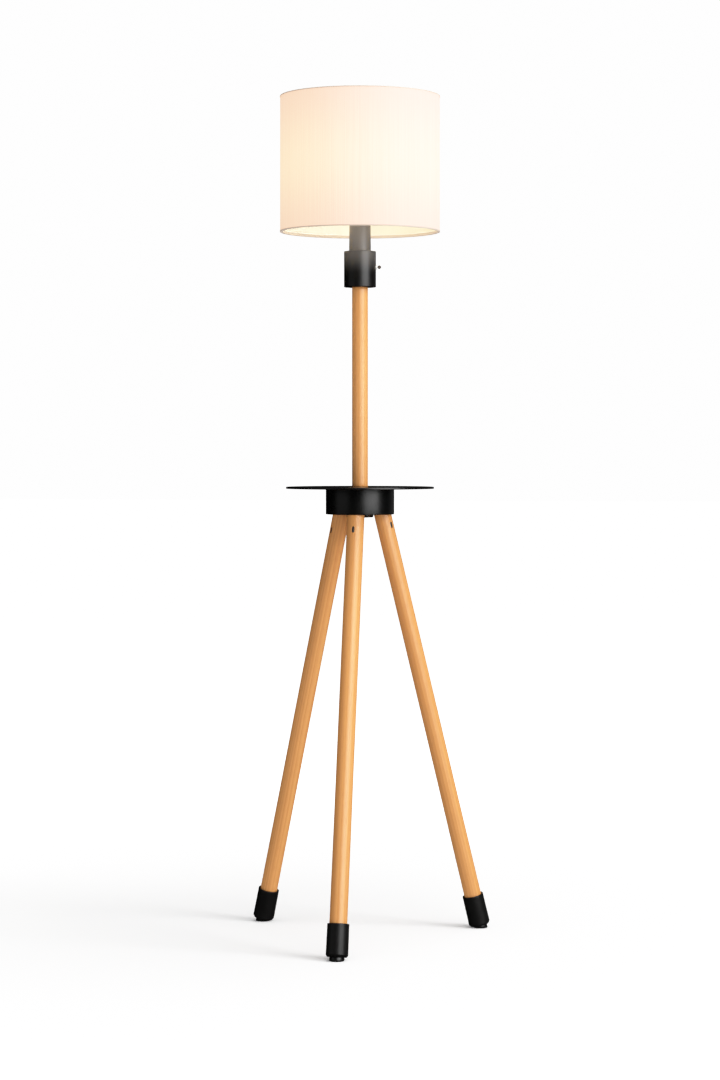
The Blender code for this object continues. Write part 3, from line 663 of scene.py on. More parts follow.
class LampStageSettings(bpy.types.PropertyGroup):
    """Camera, lights and floor."""
    distance: length("Camera distance", "From the pole's axis to the camera", 4.633)
    height: length("Camera height", "Height of the camera", 0.8663)
    azimuth: turn("Camera azimuth", "Turn of the camera round the pole's axis", 9.76)
    lens: number("Lens", "Focal length in millimetres", 86.4, min=1)
    shift: number("Lens shift", "Upright shift of the picture", -0.0826)
    mirror_power: amount("Key softbox", "Power in watts of what the glossy skins mirror", 150.0)
    mirror_angle: turn("Softbox angle", "Turn from the camera to the softbox", 39)
    key_power: amount("Key light", "Power of the light on the right in watts", 84.0)
    key_angle: turn("Key angle", "Turn from the camera to the light on the right", 64)
    front_power: amount("Front light", "Power of the soft light in front in watts", 66.0)
    front_angle: turn("Front angle", "Turn from the camera to the light in front", 30)
    fill_power: amount("Fill light", "Power of the softbox on the left in watts", 5.0)
    fill_angle: turn("Fill angle", "Turn from the camera to the left softbox", -62)
    top_power: amount("Top light", "Power of the soft light overhead in watts", 110.0)
    below: amount("Light from below", "Brightness of the floor as a light", 0.85)
    above: amount("Light from above", "Brightness of the walls and ceiling", 0.15)
    glint: amount("Far wall", "Brightness mirrored by edges that face away", 0.12)
    dark: amount("Dark surround", "Brightness that glossy skins mirror", 0.0)
    backdrop: amount("Backdrop", "Brightness behind the lamp", 1.28)
    floor_glow: amount("Floor glow", "Light added to the floor", 0.2)


# ---- shade ----
class LAMP_OT_shade_cloth(bpy.types.Operator):
    """Make the cloth drum and the lining inside it"""
    bl_idname = "tripod_lamp.shade_cloth"
    bl_label = "Shade cloth and lining"

    def execute(self, context):
        settings = context.scene.lamp_shade
        radius, low, high = cad_size("shade_fabric", POLE)
        wall = radius - cad_size("shade_top_ring", POLE)[0] - GAP
        cloth_wall = wall * 0.38
        edge = 0.00012
        tuck = 0.0003
        seam = radians(97)
        lap_angle = settings.lap / radius

        def seam_wave(angle, at_radius, height):
            """A step outwards where the cloth laps over itself, plus a slow flutter of two sines."""
            off = np.abs((angle - seam + pi) % (2 * pi) - pi)
            flutter = 0.00012 * np.sin(3 * angle + 1.3) * np.sin(2 * angle)
            return 0.00042 * (1 - smoothstep(lap_angle * 0.46, lap_angle * 0.54, off)) + flutter

        cloth = ring_outline(radius - cloth_wall, radius, low - tuck, high + tuck, edge)
        made = turned_piece("shade_cloth", cloth, "shade_fabric", ["shade_fabric"], body="shade",
                            material=cloth_finish(settings), angles=1440, wave=seam_wave)
        lining = ring_outline(radius - wall, radius - cloth_wall - edge, low, high, 0.0001)
        turned_piece("shade_lining", lining, "shade_fabric", [], body="shade", angles=240,
                     material=lining_finish(settings))
        return {"FINISHED"}


class LAMP_OT_shade_rims(bpy.types.Operator):
    """Make the tape over both rims and the wire rings that it wraps"""
    bl_idname = "tripod_lamp.shade_rims"
    bl_label = "Shade rims"

    def execute(self, context):
        tape_material = tape_finish(context.scene.lamp_shade)
        paint_finish("white_wire", (0.80, 0.78, 0.72), 0.35)
        tape = 0.0004
        cover = 0.0020
        outer = cad_size("shade_top_trim", POLE)[0] + tape / 2
        for name, sign in (("top", 1), ("bottom", -1)):
            reach, ring_low, ring_high = cad_size(f"shade_{name}_ring", POLE)
            wire_radius = (ring_high - ring_low) / 2
            path_radius = reach - wire_radius
            middle = (ring_low + ring_high) / 2
            _, low, high = cad_size(f"shade_{name}_trim", POLE)
            edge = (high if sign > 0 else low) - sign * tape / 2
            inner = path_radius - wire_radius - tape
            path = [(outer, edge - sign * cover, 0), (outer, edge, 0.0007), (inner, edge, 0.0008),
                    (inner, middle, 0)]
            turned_piece(f"shade_{name}_tape", strip_outline(path, tape), "trim_tape",
                         [f"shade_{name}_trim"], body="shade", material=tape_material, angles=360)
            wire = circle_outline(path_radius, middle, wire_radius)
            turned_piece(f"shade_{name}_wire", wire, "white_wire", [f"shade_{name}_ring"], body="shade",
                         angles=240)
        return {"FINISHED"}


class LAMP_OT_shade_fitter(bpy.types.Operator):
    """Make the three-armed wire fitter and the ring nut that holds it on the socket"""
    bl_idname = "tripod_lamp.shade_fitter"
    bl_label = "Shade fitter and ring nut"

    def execute(self, context):
        reach, low, high = cad_size("shade_fitter", POLE)
        middle = (low + high) / 2
        wire_radius = (high - low) / 2
        nut_radius, nut_low, nut_high = cad_size("shade_ring_nut", POLE)
        bore = cad_size("socket_insulator", POLE)[0] + GAP + SKIRT_WALL + GAP
        plate = 0.0011
        weld_length = 0.012

        def neck(t):
            """The wire's radius along an arm, with a bell-shaped swelling where each end is welded."""
            weld = np.exp(-((1 - t) / weld_length) ** 2) + 0.8 * np.exp(-(t / weld_length) ** 2)
            return wire_radius * (0.94 + 0.35 * weld)

        surface = Surface()
        add_turned(surface, circle_outline(reach - wire_radius, middle, wire_radius), POLE, 240)
        hub = ring_outline(bore, nut_radius + 0.0025, middle - plate, middle + plate, 0.0006)
        add_turned(surface, hub, POLE, 96)
        level = POLE.origin + (0, 0, middle)
        for angle in np.arange(3) * 2 * pi / 3 + pi / 2:
            ray = np.array([cos(angle), sin(angle), 0])
            start = level + ray * (nut_radius + 0.0006)
            add_bar(surface, start, level + ray * (reach - wire_radius * 1.1), neck, rows=60)
        piece("shade_fitter_wire", surface, "white_wire", ["shade_fitter"], body="shade")
        nut = ring_outline(bore, nut_radius, nut_low, nut_high, 0.0007)
        turned_piece("ring_nut", nut, "black_plastic", ["shade_ring_nut"], angles=384,
                     wave=ribbed(48, 0.0005, nut_radius - 0.003, nut_radius - 0.0004))
        return {"FINISHED"}


# ---- lamp holder, bulb and housing ----
class LAMP_OT_socket(bpy.types.Operator):
    """Make the socket cup with its threaded skirt"""
    bl_idname = "tripod_lamp.socket"
    bl_label = "Socket cup"

    def execute(self, context):
        bronze = context.scene.lamp_metal.bronze
        radius, low, high = cad_size("socket_cup", POLE)
        shoulder = cad_size("shade_fitter", POLE)[1] + 0.0001
        bore = cad_size("socket_insulator", POLE)[0] + GAP
        skirt = bore + SKIRT_WALL
        floor = low + SHEET_WALL
        thread = upright(skirt, np.linspace(high - 0.0008, shoulder + 0.0009, 60))
        body = rounded([(radius, shoulder, 0.0009), (radius, low, 0.0010), (PIPE_HOLE, low, 0),
                        (PIPE_HOLE, floor, 0), (bore, floor, 0.0010), (bore, high, 0.0004),
                        (skirt, high, 0.0005)], closed=False)
        outline = np.concatenate([thread, [(skirt, shoulder), (radius - 0.0009, shoulder)], body[1:]])
        # The cup goes from its bronze near the shade to a darker tone at its foot: painted shade away from
        # the bulb's light.
        finish = painted_glow_finish("bronze_cup", bronze, tinted(bronze, 0.85), high - 0.03, low, 0.38)
        turned_piece("lamp_socket_cup", outline, "bronze_paint", ["socket_cup"], angles=128,
                     material=finish, wave=threaded(skirt, 0.0003, 0.0022, shoulder + 0.0009))
        return {"FINISHED"}


class LAMP_OT_bulb(bpy.types.Operator):
    """Make the opal bulb and its screw cap"""
    bl_idname = "tripod_lamp.bulb"
    bl_label = "Bulb"

    def execute(self, context):
        turned_piece("bulb_globe", self.globe_outline(), "opal_glass", ["bulb_glass"], angles=72,
                     closed=False, material=bulb_finish(context.scene.lamp_shade))
        radius, low, high = cad_size("bulb_cap", POLE)
        side = radius - 0.0004
        rows = upright(side, np.linspace(high - 0.001, low + 0.008, 90))
        tip = [(0.0085, low + 0.0035), (0.0050, low + 0.0008), (0.0045, low), (0, low)]
        outline = np.concatenate([[(0, high), (radius - 0.0006, high)], rows, tip])
        turned_piece("bulb_screw_cap", outline, "nickel", ["bulb_cap"], angles=64, closed=False,
                     wave=threaded(side, 0.00045, 0.0035, low + 0.008, 0.003))
        return {"FINISHED"}

    def globe_outline(self):
        """An arc down to the turn, then a cubic (Hermite) curve into the neck, smooth at both ends."""
        radius, low, high = cad_size("bulb_glass", POLE)
        centre = high - radius
        neck = cad_size("bulb_cap", POLE)[0] + GAP
        turn = radians(-48)
        angle = np.linspace(pi / 2, turn, 40)
        dome = np.stack([radius * np.cos(angle), centre + radius * np.sin(angle)], axis=1)
        dome[0, 0] = 0
        t = np.linspace(0, 1, 24)[1:, None]
        leave = np.array([sin(turn), -cos(turn)]) * 0.030
        arrive = np.array([0, -0.020])
        blend = (2 * t**3 - 3 * t**2 + 1) * dome[-1] + (t**3 - 2 * t**2 + t) * leave
        blend += (3 * t**2 - 2 * t**3) * np.array([neck, low + 0.006]) + (t**3 - t**2) * arrive
        return np.concatenate([dome, blend, [(neck, low), (0, low)]])


class LAMP_OT_housing(bpy.types.Operator):
    """Make the switch housing and its base plate"""
    bl_idname = "tripod_lamp.housing"
    bl_label = "Switch housing"

    def execute(self, context):
        metals = context.scene.lamp_metal
        radius, low, high = cad_size("housing_shell", POLE)
        inner = radius - SHEET_WALL
        ceiling = high - SHEET_WALL
        outline = rounded([(PIPE_HOLE, high, 0), (radius, high, 0.0011), (radius, low, 0.0006),
                           (inner, low, 0.0004), (inner, ceiling, 0.0006), (PIPE_HOLE, ceiling, 0)])
        # Black paint, with a painted glow of the shade's light in a dark bronze tone on the upper part of
        # the housing.
        black_below = low + 0.35 * (high - low)
        finish = painted_glow_finish("housing_painted_glow", tinted(metals.bronze, 0.48), metals.black, high,
                                black_below, 0.37)
        turned_piece("switch_housing", outline, "bronze_paint", ["housing_shell"], angles=160,
                     material=finish)
        plate_radius, plate_low, plate_high = cad_size("housing_base", POLE)
        plate = ring_outline(PIPE_HOLE, plate_radius, plate_low, plate_high, 0.0006)
        turned_piece("housing_plate", plate, "bronze_paint", ["housing_base"], angles=160,
                     material=finished("black_paint"))
        return {"FINISHED"}


class LAMP_OT_switch(bpy.types.Operator):
    """Make the switch's bushing, ring, shaft and knob"""
    bl_idname = "tripod_lamp.switch"
    bl_label = "Rotary switch"

    def execute(self, context):
        pale = moulded_finish("pale_nylon", (0.90, 0.89, 0.86), 0.35)
        radius, low, high = cad_size("switch_bushing", SWITCH)
        shaft_radius, shaft_low, shaft_high = cad_size("switch_shaft", SWITCH)
        side = radius - 0.0001
        rows = upright(side, np.linspace(high - 0.0003, low, 40))
        bushing = np.concatenate([[(0.0018, high), (radius - 0.0004, high)], rows, [(0.0018, low)]])
        turned_piece("switch_sleeve", bushing, "nickel", ["switch_bushing"], SWITCH, angles=64,
                     material=pale, wave=threaded(side, 0.00012, 0.0007))
        ring_radius, ring_low, ring_high = cad_size("switch_nut", SWITCH)
        ring = ring_outline(radius + GAP, ring_radius, ring_low, ring_high, 0.0003)
        turned_piece("switch_ring", ring, "nickel", ["switch_nut"], SWITCH, material=pale, angles=192,
                     wave=ribbed(24, 0.00022, 0.0040, 0.0046))
        shaft = rounded([(0, shaft_high, 0), (shaft_radius, shaft_high, 0.0003),
                         (shaft_radius, shaft_low, 0.0003), (0, shaft_low, 0)], closed=False)
        turned_piece("switch_rod", shaft, "nickel", ["switch_shaft"], SWITCH, angles=48, closed=False,
                     body="knob", material=pale)
        self.make_grip(shaft_radius + 0.00025, shaft_high + GAP)
        return {"FINISHED"}

    def make_grip(self, bore, bore_end):
        """The knob, widest near its middle, with fourteen hollows shaped by |sin(7 a)| to the power 0.6."""
        radius, low, high = cad_size("switch_knob", SWITCH)
        middle = low + 0.45 * (high - low)
        tip = radius * 0.45
        knob = rounded([(0, high, 0), (tip, high, 0.0008), (radius, middle, 0.0009),
                        (tip * 1.3, low, 0.0003), (bore, low, 0.0002), (bore, bore_end, 0),
                        (0, bore_end, 0)], closed=False, bend=8)

        def flutes(angle, at_radius, height):
            return -0.00035 * smoothstep(tip, radius, at_radius) * np.abs(np.sin(7 * angle)) ** 0.6

        turned_piece("switch_grip", knob, "brown_plastic", ["switch_knob"], SWITCH, angles=168,
                     closed=False, body="knob", wave=flutes, sharp=60)


# ---- pole, tray and hub ----
class LAMP_OT_column(bpy.types.Operator):
    """Make the wooden pole and the round tray"""
    bl_idname = "tripod_lamp.column"
    bl_label = "Pole and tray"

    def execute(self, context):
        radius, low, high = cad_size("pole", POLE)
        eased = [(LEG_LIP, 0), (LEG_LIP / 3, LEG_LIP / 3), (0, LEG_LIP)]
        top = [(radius - inset, high - drop) for inset, drop in eased]
        foot = [(radius - inset, low + rise) for inset, rise in reversed(eased)]
        side = upright(radius, np.linspace(high, low, 60)[1:-1])
        outline = np.concatenate([[(PIPE_HOLE, high)], top, side, foot, [(PIPE_HOLE, low)]])
        pole = turned_piece("wooden_pole", outline, "honey_wood", ["pole"])
        store_grain(pole, POLE, (0.31, 0.12, 0.0))
        tray_radius, tray_low, tray_high = cad_size("tray", POLE)
        tray = ring_outline(PIPE_HOLE, tray_radius, tray_low, tray_high, 0.0006)
        turned_piece("round_tray", tray, "black_paint", ["tray"], angles=288)
        return {"FINISHED"}


class LAMP_OT_hub(bpy.types.Operator):
    """Make the hub's casing and the cast bracket inside it"""
    bl_idname = "tripod_lamp.hub"
    bl_label = "Hub and bracket"

    def execute(self, context):
        radius, low, high = cad_size("hub_casing", POLE)
        inner = radius - SHEET_WALL
        ceiling = high - SHEET_WALL
        outline = rounded([(PIPE_HOLE, high, 0), (radius, high, 0.0012), (radius, low, 0.0012),
                           (inner, low, 0.0002), (inner, ceiling, 0.001), (PIPE_HOLE, ceiling, 0)])
        turned_piece("hub_cup", outline, "black_paint", ["hub_casing"], angles=240)
        surface = Surface()
        plate_radius, boss_low, plate_high = cad_size("leg_bracket", POLE)
        plate_low = plate_high - 0.006
        boss = 0.015
        plate = rounded([(PIPE_HOLE, plate_high, 0), (plate_radius, plate_high, 0.0008),
                         (plate_radius, plate_low, 0.0015), (boss, plate_low, 0.003),
                         (boss, boss_low, 0.001), (PIPE_HOLE, boss_low, 0)])
        add_turned(surface, plate, POLE, 160)
        for name in LEG_NAMES:
            self.add_seat(surface, name)
            self.add_rib(surface, LEGS[name], plate_high, plate_radius - 0.004)
        piece("hub_bracket", surface, "cast_iron", ["leg_bracket"])
        return {"FINISHED"}

    def add_seat(self, surface, name):
        """The raked disc that a leg's top rests on."""
        leg_radius, _, leg_top = cad_size(name + "_leg", LEGS[name])
        radius = leg_radius + SHEET_WALL
        low = leg_top + GAP
        top = leg_top + 0.0085
        seat = rounded([(0, top, 0), (radius, top, 0), (radius, low, 0.0008), (0, low, 0)], closed=False)
        add_turned(surface, seat, LEGS[name], 96, closed=False)

    def add_rib(self, surface, leg, plate_high, reach):
        """A web between two legs, built up of three round bars that get shorter downwards."""
        outward = unit((leg.origin - POLE.origin) * (-1, -1, 0))
        for step in (2, 1, 0):
            level = POLE.origin + (0, 0, plate_high - 0.0089 - 0.0065 * step)
            add_bar(surface, level + outward * 0.010, level + outward * (reach - 0.0091 * step),
                    lambda t: 0.0034 * np.sqrt(np.clip(1 - ((t - 0.5) / 0.52) ** 8, 0.2, 1)))


class LAMP_OT_clamp(bpy.types.Operator):
    """Make the washer, the lobed hand nut and the cord bushing under the hub"""
    bl_idname = "tripod_lamp.clamp"
    bl_label = "Clamp under the hub"

    def execute(self, context):
        radius, low, high = cad_size("clamp_washer", POLE)
        turned_piece("plate_washer", ring_outline(PIPE_HOLE, radius, low, high, 0.0004), "zinc_steel",
                     ["clamp_washer"])
        radius, low, high = cad_size("hand_nut", POLE)
        recess = low + 0.0006
        nut = rounded([(PIPE_HOLE, high, 0.0004), (radius, high, 0.0016), (radius, low, 0.0022),
                       (0.0120, low, 0.0006), (0.0110, recess, 0.0004), (PIPE_HOLE, recess, 0.0003)])
        turned_piece("hand_wheel", nut, "black_plastic", ["hand_nut"], angles=256,
                     wave=ribbed(8, 0.0032, radius - 0.009, radius - 0.002, phase=pi))
        radius, low, high = cad_size("cord_bushing", POLE)
        throat = 0.0031
        mouth = rounded([(PIPE_HOLE, high, 0), (radius, high, 0.0003), (radius, low, 0.0014),
                         (throat, low, 0.0012), (throat, low + 0.0060, 0), (PIPE_HOLE, low + 0.0064, 0)])
        turned_piece("cord_inlet", mouth, "brass", ["cord_bushing"])
        return {"FINISHED"}


# ---- legs and feet ----
class LAMP_OT_legs(bpy.types.Operator):
    """Make the three legs, each with the slot and steel key that pins it to its spigot"""
    bl_idname = "tripod_lamp.legs"
    bl_label = "Legs and keys"

    def execute(self, context):
        slot_depth = context.scene.lamp_wood.slot_depth
        for index, name in enumerate(LEG_NAMES):
            place = LEGS[name]
            radius, low, high = cad_size(name + "_leg", place)
            key = place.to_local(cad_points(name + "_leg_cotter"))
            middle = key.mean(axis=0)
            facing = np.arctan2(middle[1], middle[0])
            turned = key[:, :2] @ np.array([[cos(facing), -sin(facing)], [sin(facing), cos(facing)]])
            width = np.ptp(turned[:, 1])
            straight = (np.ptp(key[:, 2]) - width) / 2
            half_width = width / 2 + GAP

            def slot(angle, at_radius, height):
                """Sunk by slot_depth inside a stadium round the key, on the leg's outer side only."""
                across = radius * ((angle - facing + pi) % (2 * pi) - pi)
                along = np.maximum(np.abs(height - middle[2]) - straight, 0)
                off = np.hypot(across, along) - half_width
                outside = at_radius > radius - 0.0001
                return -slot_depth * outside * (1 - smoothstep(-0.00022, 0.00012, off))

            near = np.linspace(-0.30, 0.30, 72)
            far = np.linspace(0.30, 2 * pi - 0.30, 74)[1:-1]
            outline = self.leg_outline(low, high, radius, middle[2], straight + half_width + 0.0016)
            made = turned_piece(name + "_wooden_leg", outline, "honey_wood", [name + "_leg"], place,
                                facing + np.concatenate([near, far]), closed=False, wave=slot)
            store_grain(made, place, (0.17 * index + 0.05, 0.09 * index - 0.11, 0.7 * index))
            self.make_key(name, facing, middle[2], width, straight, turned[:, 0].max())
        return {"FINISHED"}

    def leg_outline(self, low, high, radius, slot_middle, slot_reach):
        """A leg's outline with close rows beside its slot: axis, bore, top, side, end, hole, axis."""
        bore = 0.0063
        hole = 0.0043
        above = np.linspace(high - LEG_LIP, slot_middle + slot_reach, 12)[:-1]
        beside = np.linspace(slot_middle + slot_reach, slot_middle - slot_reach, 76)
        below = np.linspace(slot_middle - slot_reach, low + LEG_LIP, 40)[1:]
        top = [(0, high - 0.02), (bore, high - 0.02), (bore, high), (radius - LEG_LIP, high)]
        foot = [(radius - LEG_LIP, low), (hole, low), (hole, low + 0.01), (0, low + 0.01)]
        return np.concatenate([top, upright(radius, np.concatenate([above, beside, below])), foot])

    def make_key(self, name, facing, height, width, straight, reach):
        """The steel key: a stadium section (half circle ends) swept inwards, its outer face crowned."""
        angle = np.linspace(0, 2 * pi, 64, endpoint=False)
        round_part = np.stack([np.cos(angle), np.sin(angle)], axis=1) * width / 2
        section = round_part + np.stack([0 * angle, np.sign(np.sin(angle)) * straight], axis=1)
        inner_end = -0.0100
        depths = (inner_end, reach - 0.0007, reach - 0.0003, reach - 0.0001, reach, reach)
        shares = (1.0, 1.0, 0.93, 0.80, 0.5, 0.2)
        rings = [np.column_stack([np.full(64, depth), section * share])
                 for depth, share in zip(depths, shares)]
        ends = np.array([(inner_end, 0, 0), (reach, 0, 0)])
        turn = np.array([[cos(facing), sin(facing), 0], [-sin(facing), cos(facing), 0], [0, 0, 1]])
        lift = (0, 0, height)
        surface = Surface()
        add_rings(surface, np.array(rings) @ turn + lift, ends @ turn + lift, LEGS[name], 0.0005)
        piece(name + "_steel_key", surface, "zinc_steel", [name + "_leg_cotter"],
              material=finished("dark_steel"))


class LAMP_OT_feet(bpy.types.Operator):
    """Make the rubber sleeves and the glides, cut parallel to the floor"""
    bl_idname = "tripod_lamp.feet"
    bl_label = "Foot sleeves and glides"

    def execute(self, context):
        for name in LEG_NAMES:
            place = LEGS[name]
            radius, low, high = cad_size(name + "_foot_sleeve", place)
            bore = cad_size(name + "_leg", place)[0] + 0.0002
            lip = radius - 0.0003
            waist = radius - 0.0004
            hole = 0.0043
            floor = low + 0.0090
            outline = rounded([(bore, high, 0.0005), (lip, high, 0.0008), (lip, high - 0.0040, 0.0008),
                               (waist, high - 0.0048, 0.0008), (radius, low + 0.0035, 0.0010),
                               (radius - 0.0022, low, 0.0009), (hole, low, 0), (hole, floor, 0),
                               (bore, floor, 0)])
            turned_piece(name + "_rubber_sleeve", outline, "black_rubber", [name + "_foot_sleeve"], place,
                         angles=128)
            self.make_glide(name, place, low - GAP)
        return {"FINISHED"}

    def make_glide(self, name, place, head):
        """A stem and a round pad; the pad's foot follows z = 0, so its local height goes with its x."""
        local = place.to_local(cad_points(name + "_foot_glide"))
        high = local[:, 2].max()
        radius = np.hypot(local[:, 0], local[:, 1]).max()
        stem = 0.0040
        edge = 0.0008
        bevel = [(edge, 0), (edge * 0.3, edge * 0.3), (0, edge)]
        level = [(0, high), (stem, high), (stem, head)]
        level += [(radius - inset, head - drop) for inset, drop in bevel]
        raked = [(radius - inset, rise) for inset, rise in reversed(bevel)] + [(0, 0)]
        outline = np.array(level + raked)
        on_floor = (np.arange(len(outline)) >= len(level))[:, None]
        lean = -place.axes[0, 2] / place.axes[2, 2]
        angle = np.arange(96) * 2 * pi / 96
        at_x = outline[:, :1] * np.cos(angle)
        height = outline[:, 1:] + lean * at_x * on_floor
        rings = np.stack([at_x, outline[:, :1] * np.sin(angle), height], axis=-1)
        surface = Surface()
        add_rings(surface, rings[1:-1], rings[[0, -1], 0], place, 0.0008)
        piece(name + "_nylon_glide", surface, "black_plastic", [name + "_foot_glide"])


# ---- pieces kept from the CAD model ----
class LAMP_OT_hidden_parts(bpy.types.Operator):
    """Make the shared finishes and put them on the pieces that stay as they are inside the lamp"""
    bl_idname = "tripod_lamp.hidden_parts"
    bl_label = "Finishes and inner pieces"

    def execute(self, context):
        metals = context.scene.lamp_metal
        wood_finish(context.scene.lamp_wood)
        paint_finish("black_paint", metals.black, 0.30, Specular_IOR_Level=0.42)
        moulded_finish("black_rubber", metals.rubber, 0.38, depth=0.00005, Specular_IOR_Level=0.31)
        moulded_finish("black_plastic", (0.004, 0.0038, 0.0036), 0.33, Specular_IOR_Level=0.5)
        moulded_finish("brown_plastic", metals.knob, 0.25, grain=500.0, depth=0.00001)
        moulded_finish("porcelain", (0.84, 0.82, 0.77), 0.25, grain=300.0, depth=0.00002)
        metal_finish("nickel", (0.86, 0.84, 0.80), 0.16, 0.04)
        metal_finish("brass", (0.72, 0.50, 0.26), 0.30)
        metal_finish("zinc_steel", (0.56, 0.56, 0.54), 0.38)
        metal_finish("dark_steel", (0.22, 0.21, 0.20), 0.40)
        cast_finish("cast_iron", (0.035, 0.034, 0.033))
        slots = {entry["node"]: entry["material_slot"] for entry in frame["record"]["subparts"]}
        for name, node in frame["nodes"].items():
            finish = bpy.data.materials.get("lamp_" + slots[name])
            if finish:
                node.data.materials.clear()
                node.data.materials.append(finish)
        return {"FINISHED"}


# ---- stage ----
class LAMP_OT_stage(bpy.types.Operator):
    """Make the floor, the soft lights, the surround and the camera"""
    bl_idname = "tripod_lamp.stage"
    bl_label = "Stage"

    def execute(self, context):
        settings = context.scene.lamp_stage
        self.make_floor(settings)
        self.make_surround(settings)
        facing = settings.azimuth - pi / 2

        def beside(turn, distance, height):
            """A place round the pole, turned from the camera's side."""
            return Vector((cos(facing + turn) * distance, sin(facing + turn) * distance, height))

        softbox = self.soft_light("key_softbox", beside(settings.mirror_angle, 3.3, 1.75), 0.95, (3.2, 2.9),
                                  settings.mirror_power)
        softbox.visible_diffuse = False
        key = self.soft_light("key_light", beside(settings.key_angle, 2.9, 2.5), 0.6, (1.5, 1.5),
                              settings.key_power)
        key.visible_glossy = False
        front = self.soft_light("front_light", beside(settings.front_angle, 3.8, 1.3), 0.8, (3.0, 2.6),
                                settings.front_power)
        front.visible_glossy = False
        self.soft_light("fill_light", beside(settings.fill_angle, 3.4, 1.1), 0.95, (3.0, 2.0),
                        settings.fill_power)
        self.soft_light("top_light", Vector((0.6, -0.4, 4.2)), 0.6, (3.4, 3.4), settings.top_power)
        self.make_camera(settings)
        self.set_film(context.scene.view_settings)
        return {"FINISHED"}

    def set_film(self, view):
        """Even response with a shoulder: cubic from slope 1 at the knee to slope 0 at white, so that
        glowing cloth keeps its colour."""
        white = 1.4
        knee = 0.5
        view.view_transform = "Standard"
        view.use_curve_mapping = True
        view.curve_mapping.white_level = (white, white, white)
        curve = view.curve_mapping.curves[3]
        reach = white - knee
        for t in np.linspace(0, 1, 9)[:-1]:
            level = (2 * t**3 - 3 * t**2 + 1) * knee + (t**3 - 2 * t**2 + t) * reach + 3 * t**2 - 2 * t**3
            curve.points.new((knee + t * reach) / white, level)
        view.curve_mapping.update()

    def make_floor(self, settings):
        size = 40.0
        mesh = bpy.data.meshes.new("studio_floor")
        corners = [(-size, -size, 0), (size, -size, 0), (size, size, 0), (-size, size, 0)]
        mesh.from_pydata(corners, [], [(0, 1, 2, 3)])
        floor = bpy.data.objects.new("studio_floor", mesh)
        bpy.context.scene.collection.objects.link(floor)
        finish = Finish("pale_floor", (0.93, 0.93, 0.93), 0.9, Specular_IOR_Level=0.0,
                        Emission_Color=(1, 1, 1, 1))
        away = finish.node("ShaderNodeVectorMath", {0: finish.object_place()}, output=1, operation="LENGTH")
        glow = finish.between(away, 0.2, 2.4, settings.floor_glow, settings.backdrop, "SMOOTHSTEP")
        finish.give("Emission Strength", glow)
        mesh.materials.append(finish.material)
        floor.visible_glossy = False
        floor.visible_diffuse = False

    def make_surround(self, settings):
        """Studio light by direction: white where the camera looks, pale from below as a white floor gives
        it, dim from above, and nearly dark where glossy skins mirror it."""
        world = bpy.data.worlds.new("studio")
        bpy.context.scene.world = world
        world.use_nodes = True
        world.cycles.sampling_method = "NONE"
        nodes = Nodes(world.node_tree)
        direction = nodes.node("ShaderNodeTexCoord", output="Generated")
        height = nodes.node("ShaderNodeSeparateXYZ", {"Vector": direction}, output="Z")
        fill = nodes.between(height, -0.25, 0.25, settings.below, settings.above)
        side = (cos(radians(60)), sin(radians(60)), 0)
        aside = nodes.node("ShaderNodeVectorMath", {0: direction, 1: side}, output="Value",
                           operation="DOT_PRODUCT")
        mirrored = nodes.between(aside, 0.85, 1.0, settings.dark, settings.glint)
        glossy = nodes.node("ShaderNodeLightPath", output="Is Glossy Ray")
        seen = nodes.node("ShaderNodeLightPath", output="Is Camera Ray")
        lit = nodes.node("ShaderNodeMix", {0: glossy, 2: fill, 3: mirrored})
        strength = nodes.node("ShaderNodeMix", {0: seen, 2: lit, 3: settings.backdrop})
        background = world.node_tree.nodes["Background"]
        nodes.set(background, "Strength", strength)
        nodes.set(background, "Color", (1, 1, 1, 1))

    def soft_light(self, name, place, target_height, size, power):
        """A rectangular softbox at a place round the pole, facing the pole at a height."""
        light = bpy.data.lights.new(name, "AREA")
        light.shape = "RECTANGLE"
        light.size, light.size_y = size
        light.energy = power
        made = bpy.data.objects.new(name, light)
        made.location = place + Vector(POLE.origin)
        made.rotation_euler = (Vector((0, 0, target_height)) - place).to_track_quat("-Z", "Y").to_euler()
        made.visible_camera = False
        bpy.context.scene.collection.objects.link(made)
        return made

    def make_camera(self, settings):
        data = bpy.data.cameras.new("camera")
        data.lens = settings.lens
        data.sensor_width = 36
        data.shift_y = settings.shift
        camera = bpy.data.objects.new("camera", data)
        back = Vector((sin(settings.azimuth), -cos(settings.azimuth), 0))
        camera.location = Vector(POLE.origin) + back * settings.distance + Vector((0, 0, settings.height))
        camera.rotation_euler = (pi / 2, 0, settings.azimuth)
        bpy.context.scene.collection.objects.link(camera)
        bpy.context.scene.camera = camera


OPERATORS = (LAMP_OT_stage, LAMP_OT_hidden_parts, LAMP_OT_shade_cloth, LAMP_OT_shade_rims,
             LAMP_OT_shade_fitter, LAMP_OT_socket, LAMP_OT_bulb, LAMP_OT_housing, LAMP_OT_switch,
             LAMP_OT_column, LAMP_OT_hub, LAMP_OT_clamp, LAMP_OT_legs, LAMP_OT_feet)


class LAMP_PT_panel(bpy.types.Panel):
    """The lamp's pieces, in the order they are made"""
    bl_idname = "LAMP_PT_panel"
    bl_label = "Tripod floor lamp"
    bl_space_type = "VIEW_3D"
    bl_region_type = "UI"
    bl_category = "Lamp"

    def draw(self, context):
        for operator in OPERATORS:
            self.layout.operator(operator.bl_idname)


GROUPS = {"lamp_shade": LampShadeSettings, "lamp_wood": LampWoodSettings, "lamp_metal": LampMetalSettings,
          "lamp_stage": LampStageSettings}


def register():
    for name, group in GROUPS.items():
        bpy.utils.register_class(group)
        setattr(bpy.types.Scene, name, bpy.props.PointerProperty(type=group))
    for operator in OPERATORS:
        bpy.utils.register_class(operator)
    bpy.utils.register_class(LAMP_PT_panel)


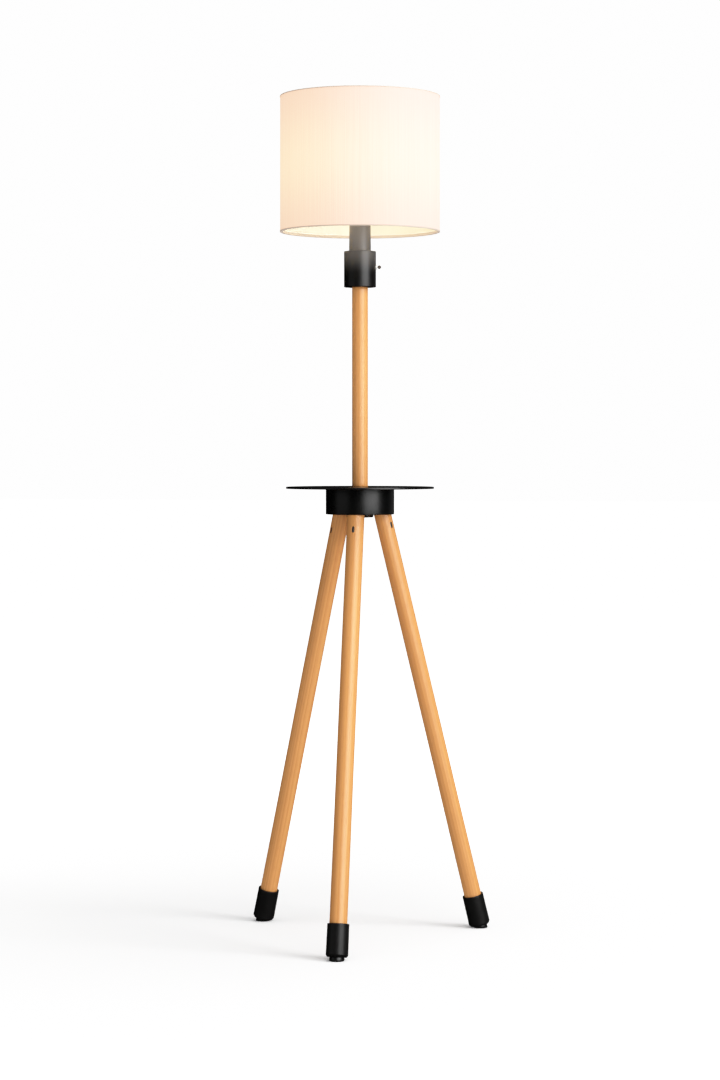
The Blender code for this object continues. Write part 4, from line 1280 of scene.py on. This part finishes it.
def unregister():
    bpy.utils.unregister_class(LAMP_PT_panel)
    for operator in reversed(OPERATORS):
        bpy.utils.unregister_class(operator)
    for name, group in reversed(GROUPS.items()):
        delattr(bpy.types.Scene, name)
        bpy.utils.unregister_class(group)


def main():
    register()
    for operator in OPERATORS:
        group, name = operator.bl_idname.split(".")
        getattr(getattr(bpy.ops, group), name)()


if __name__ == "__main__":
    main()
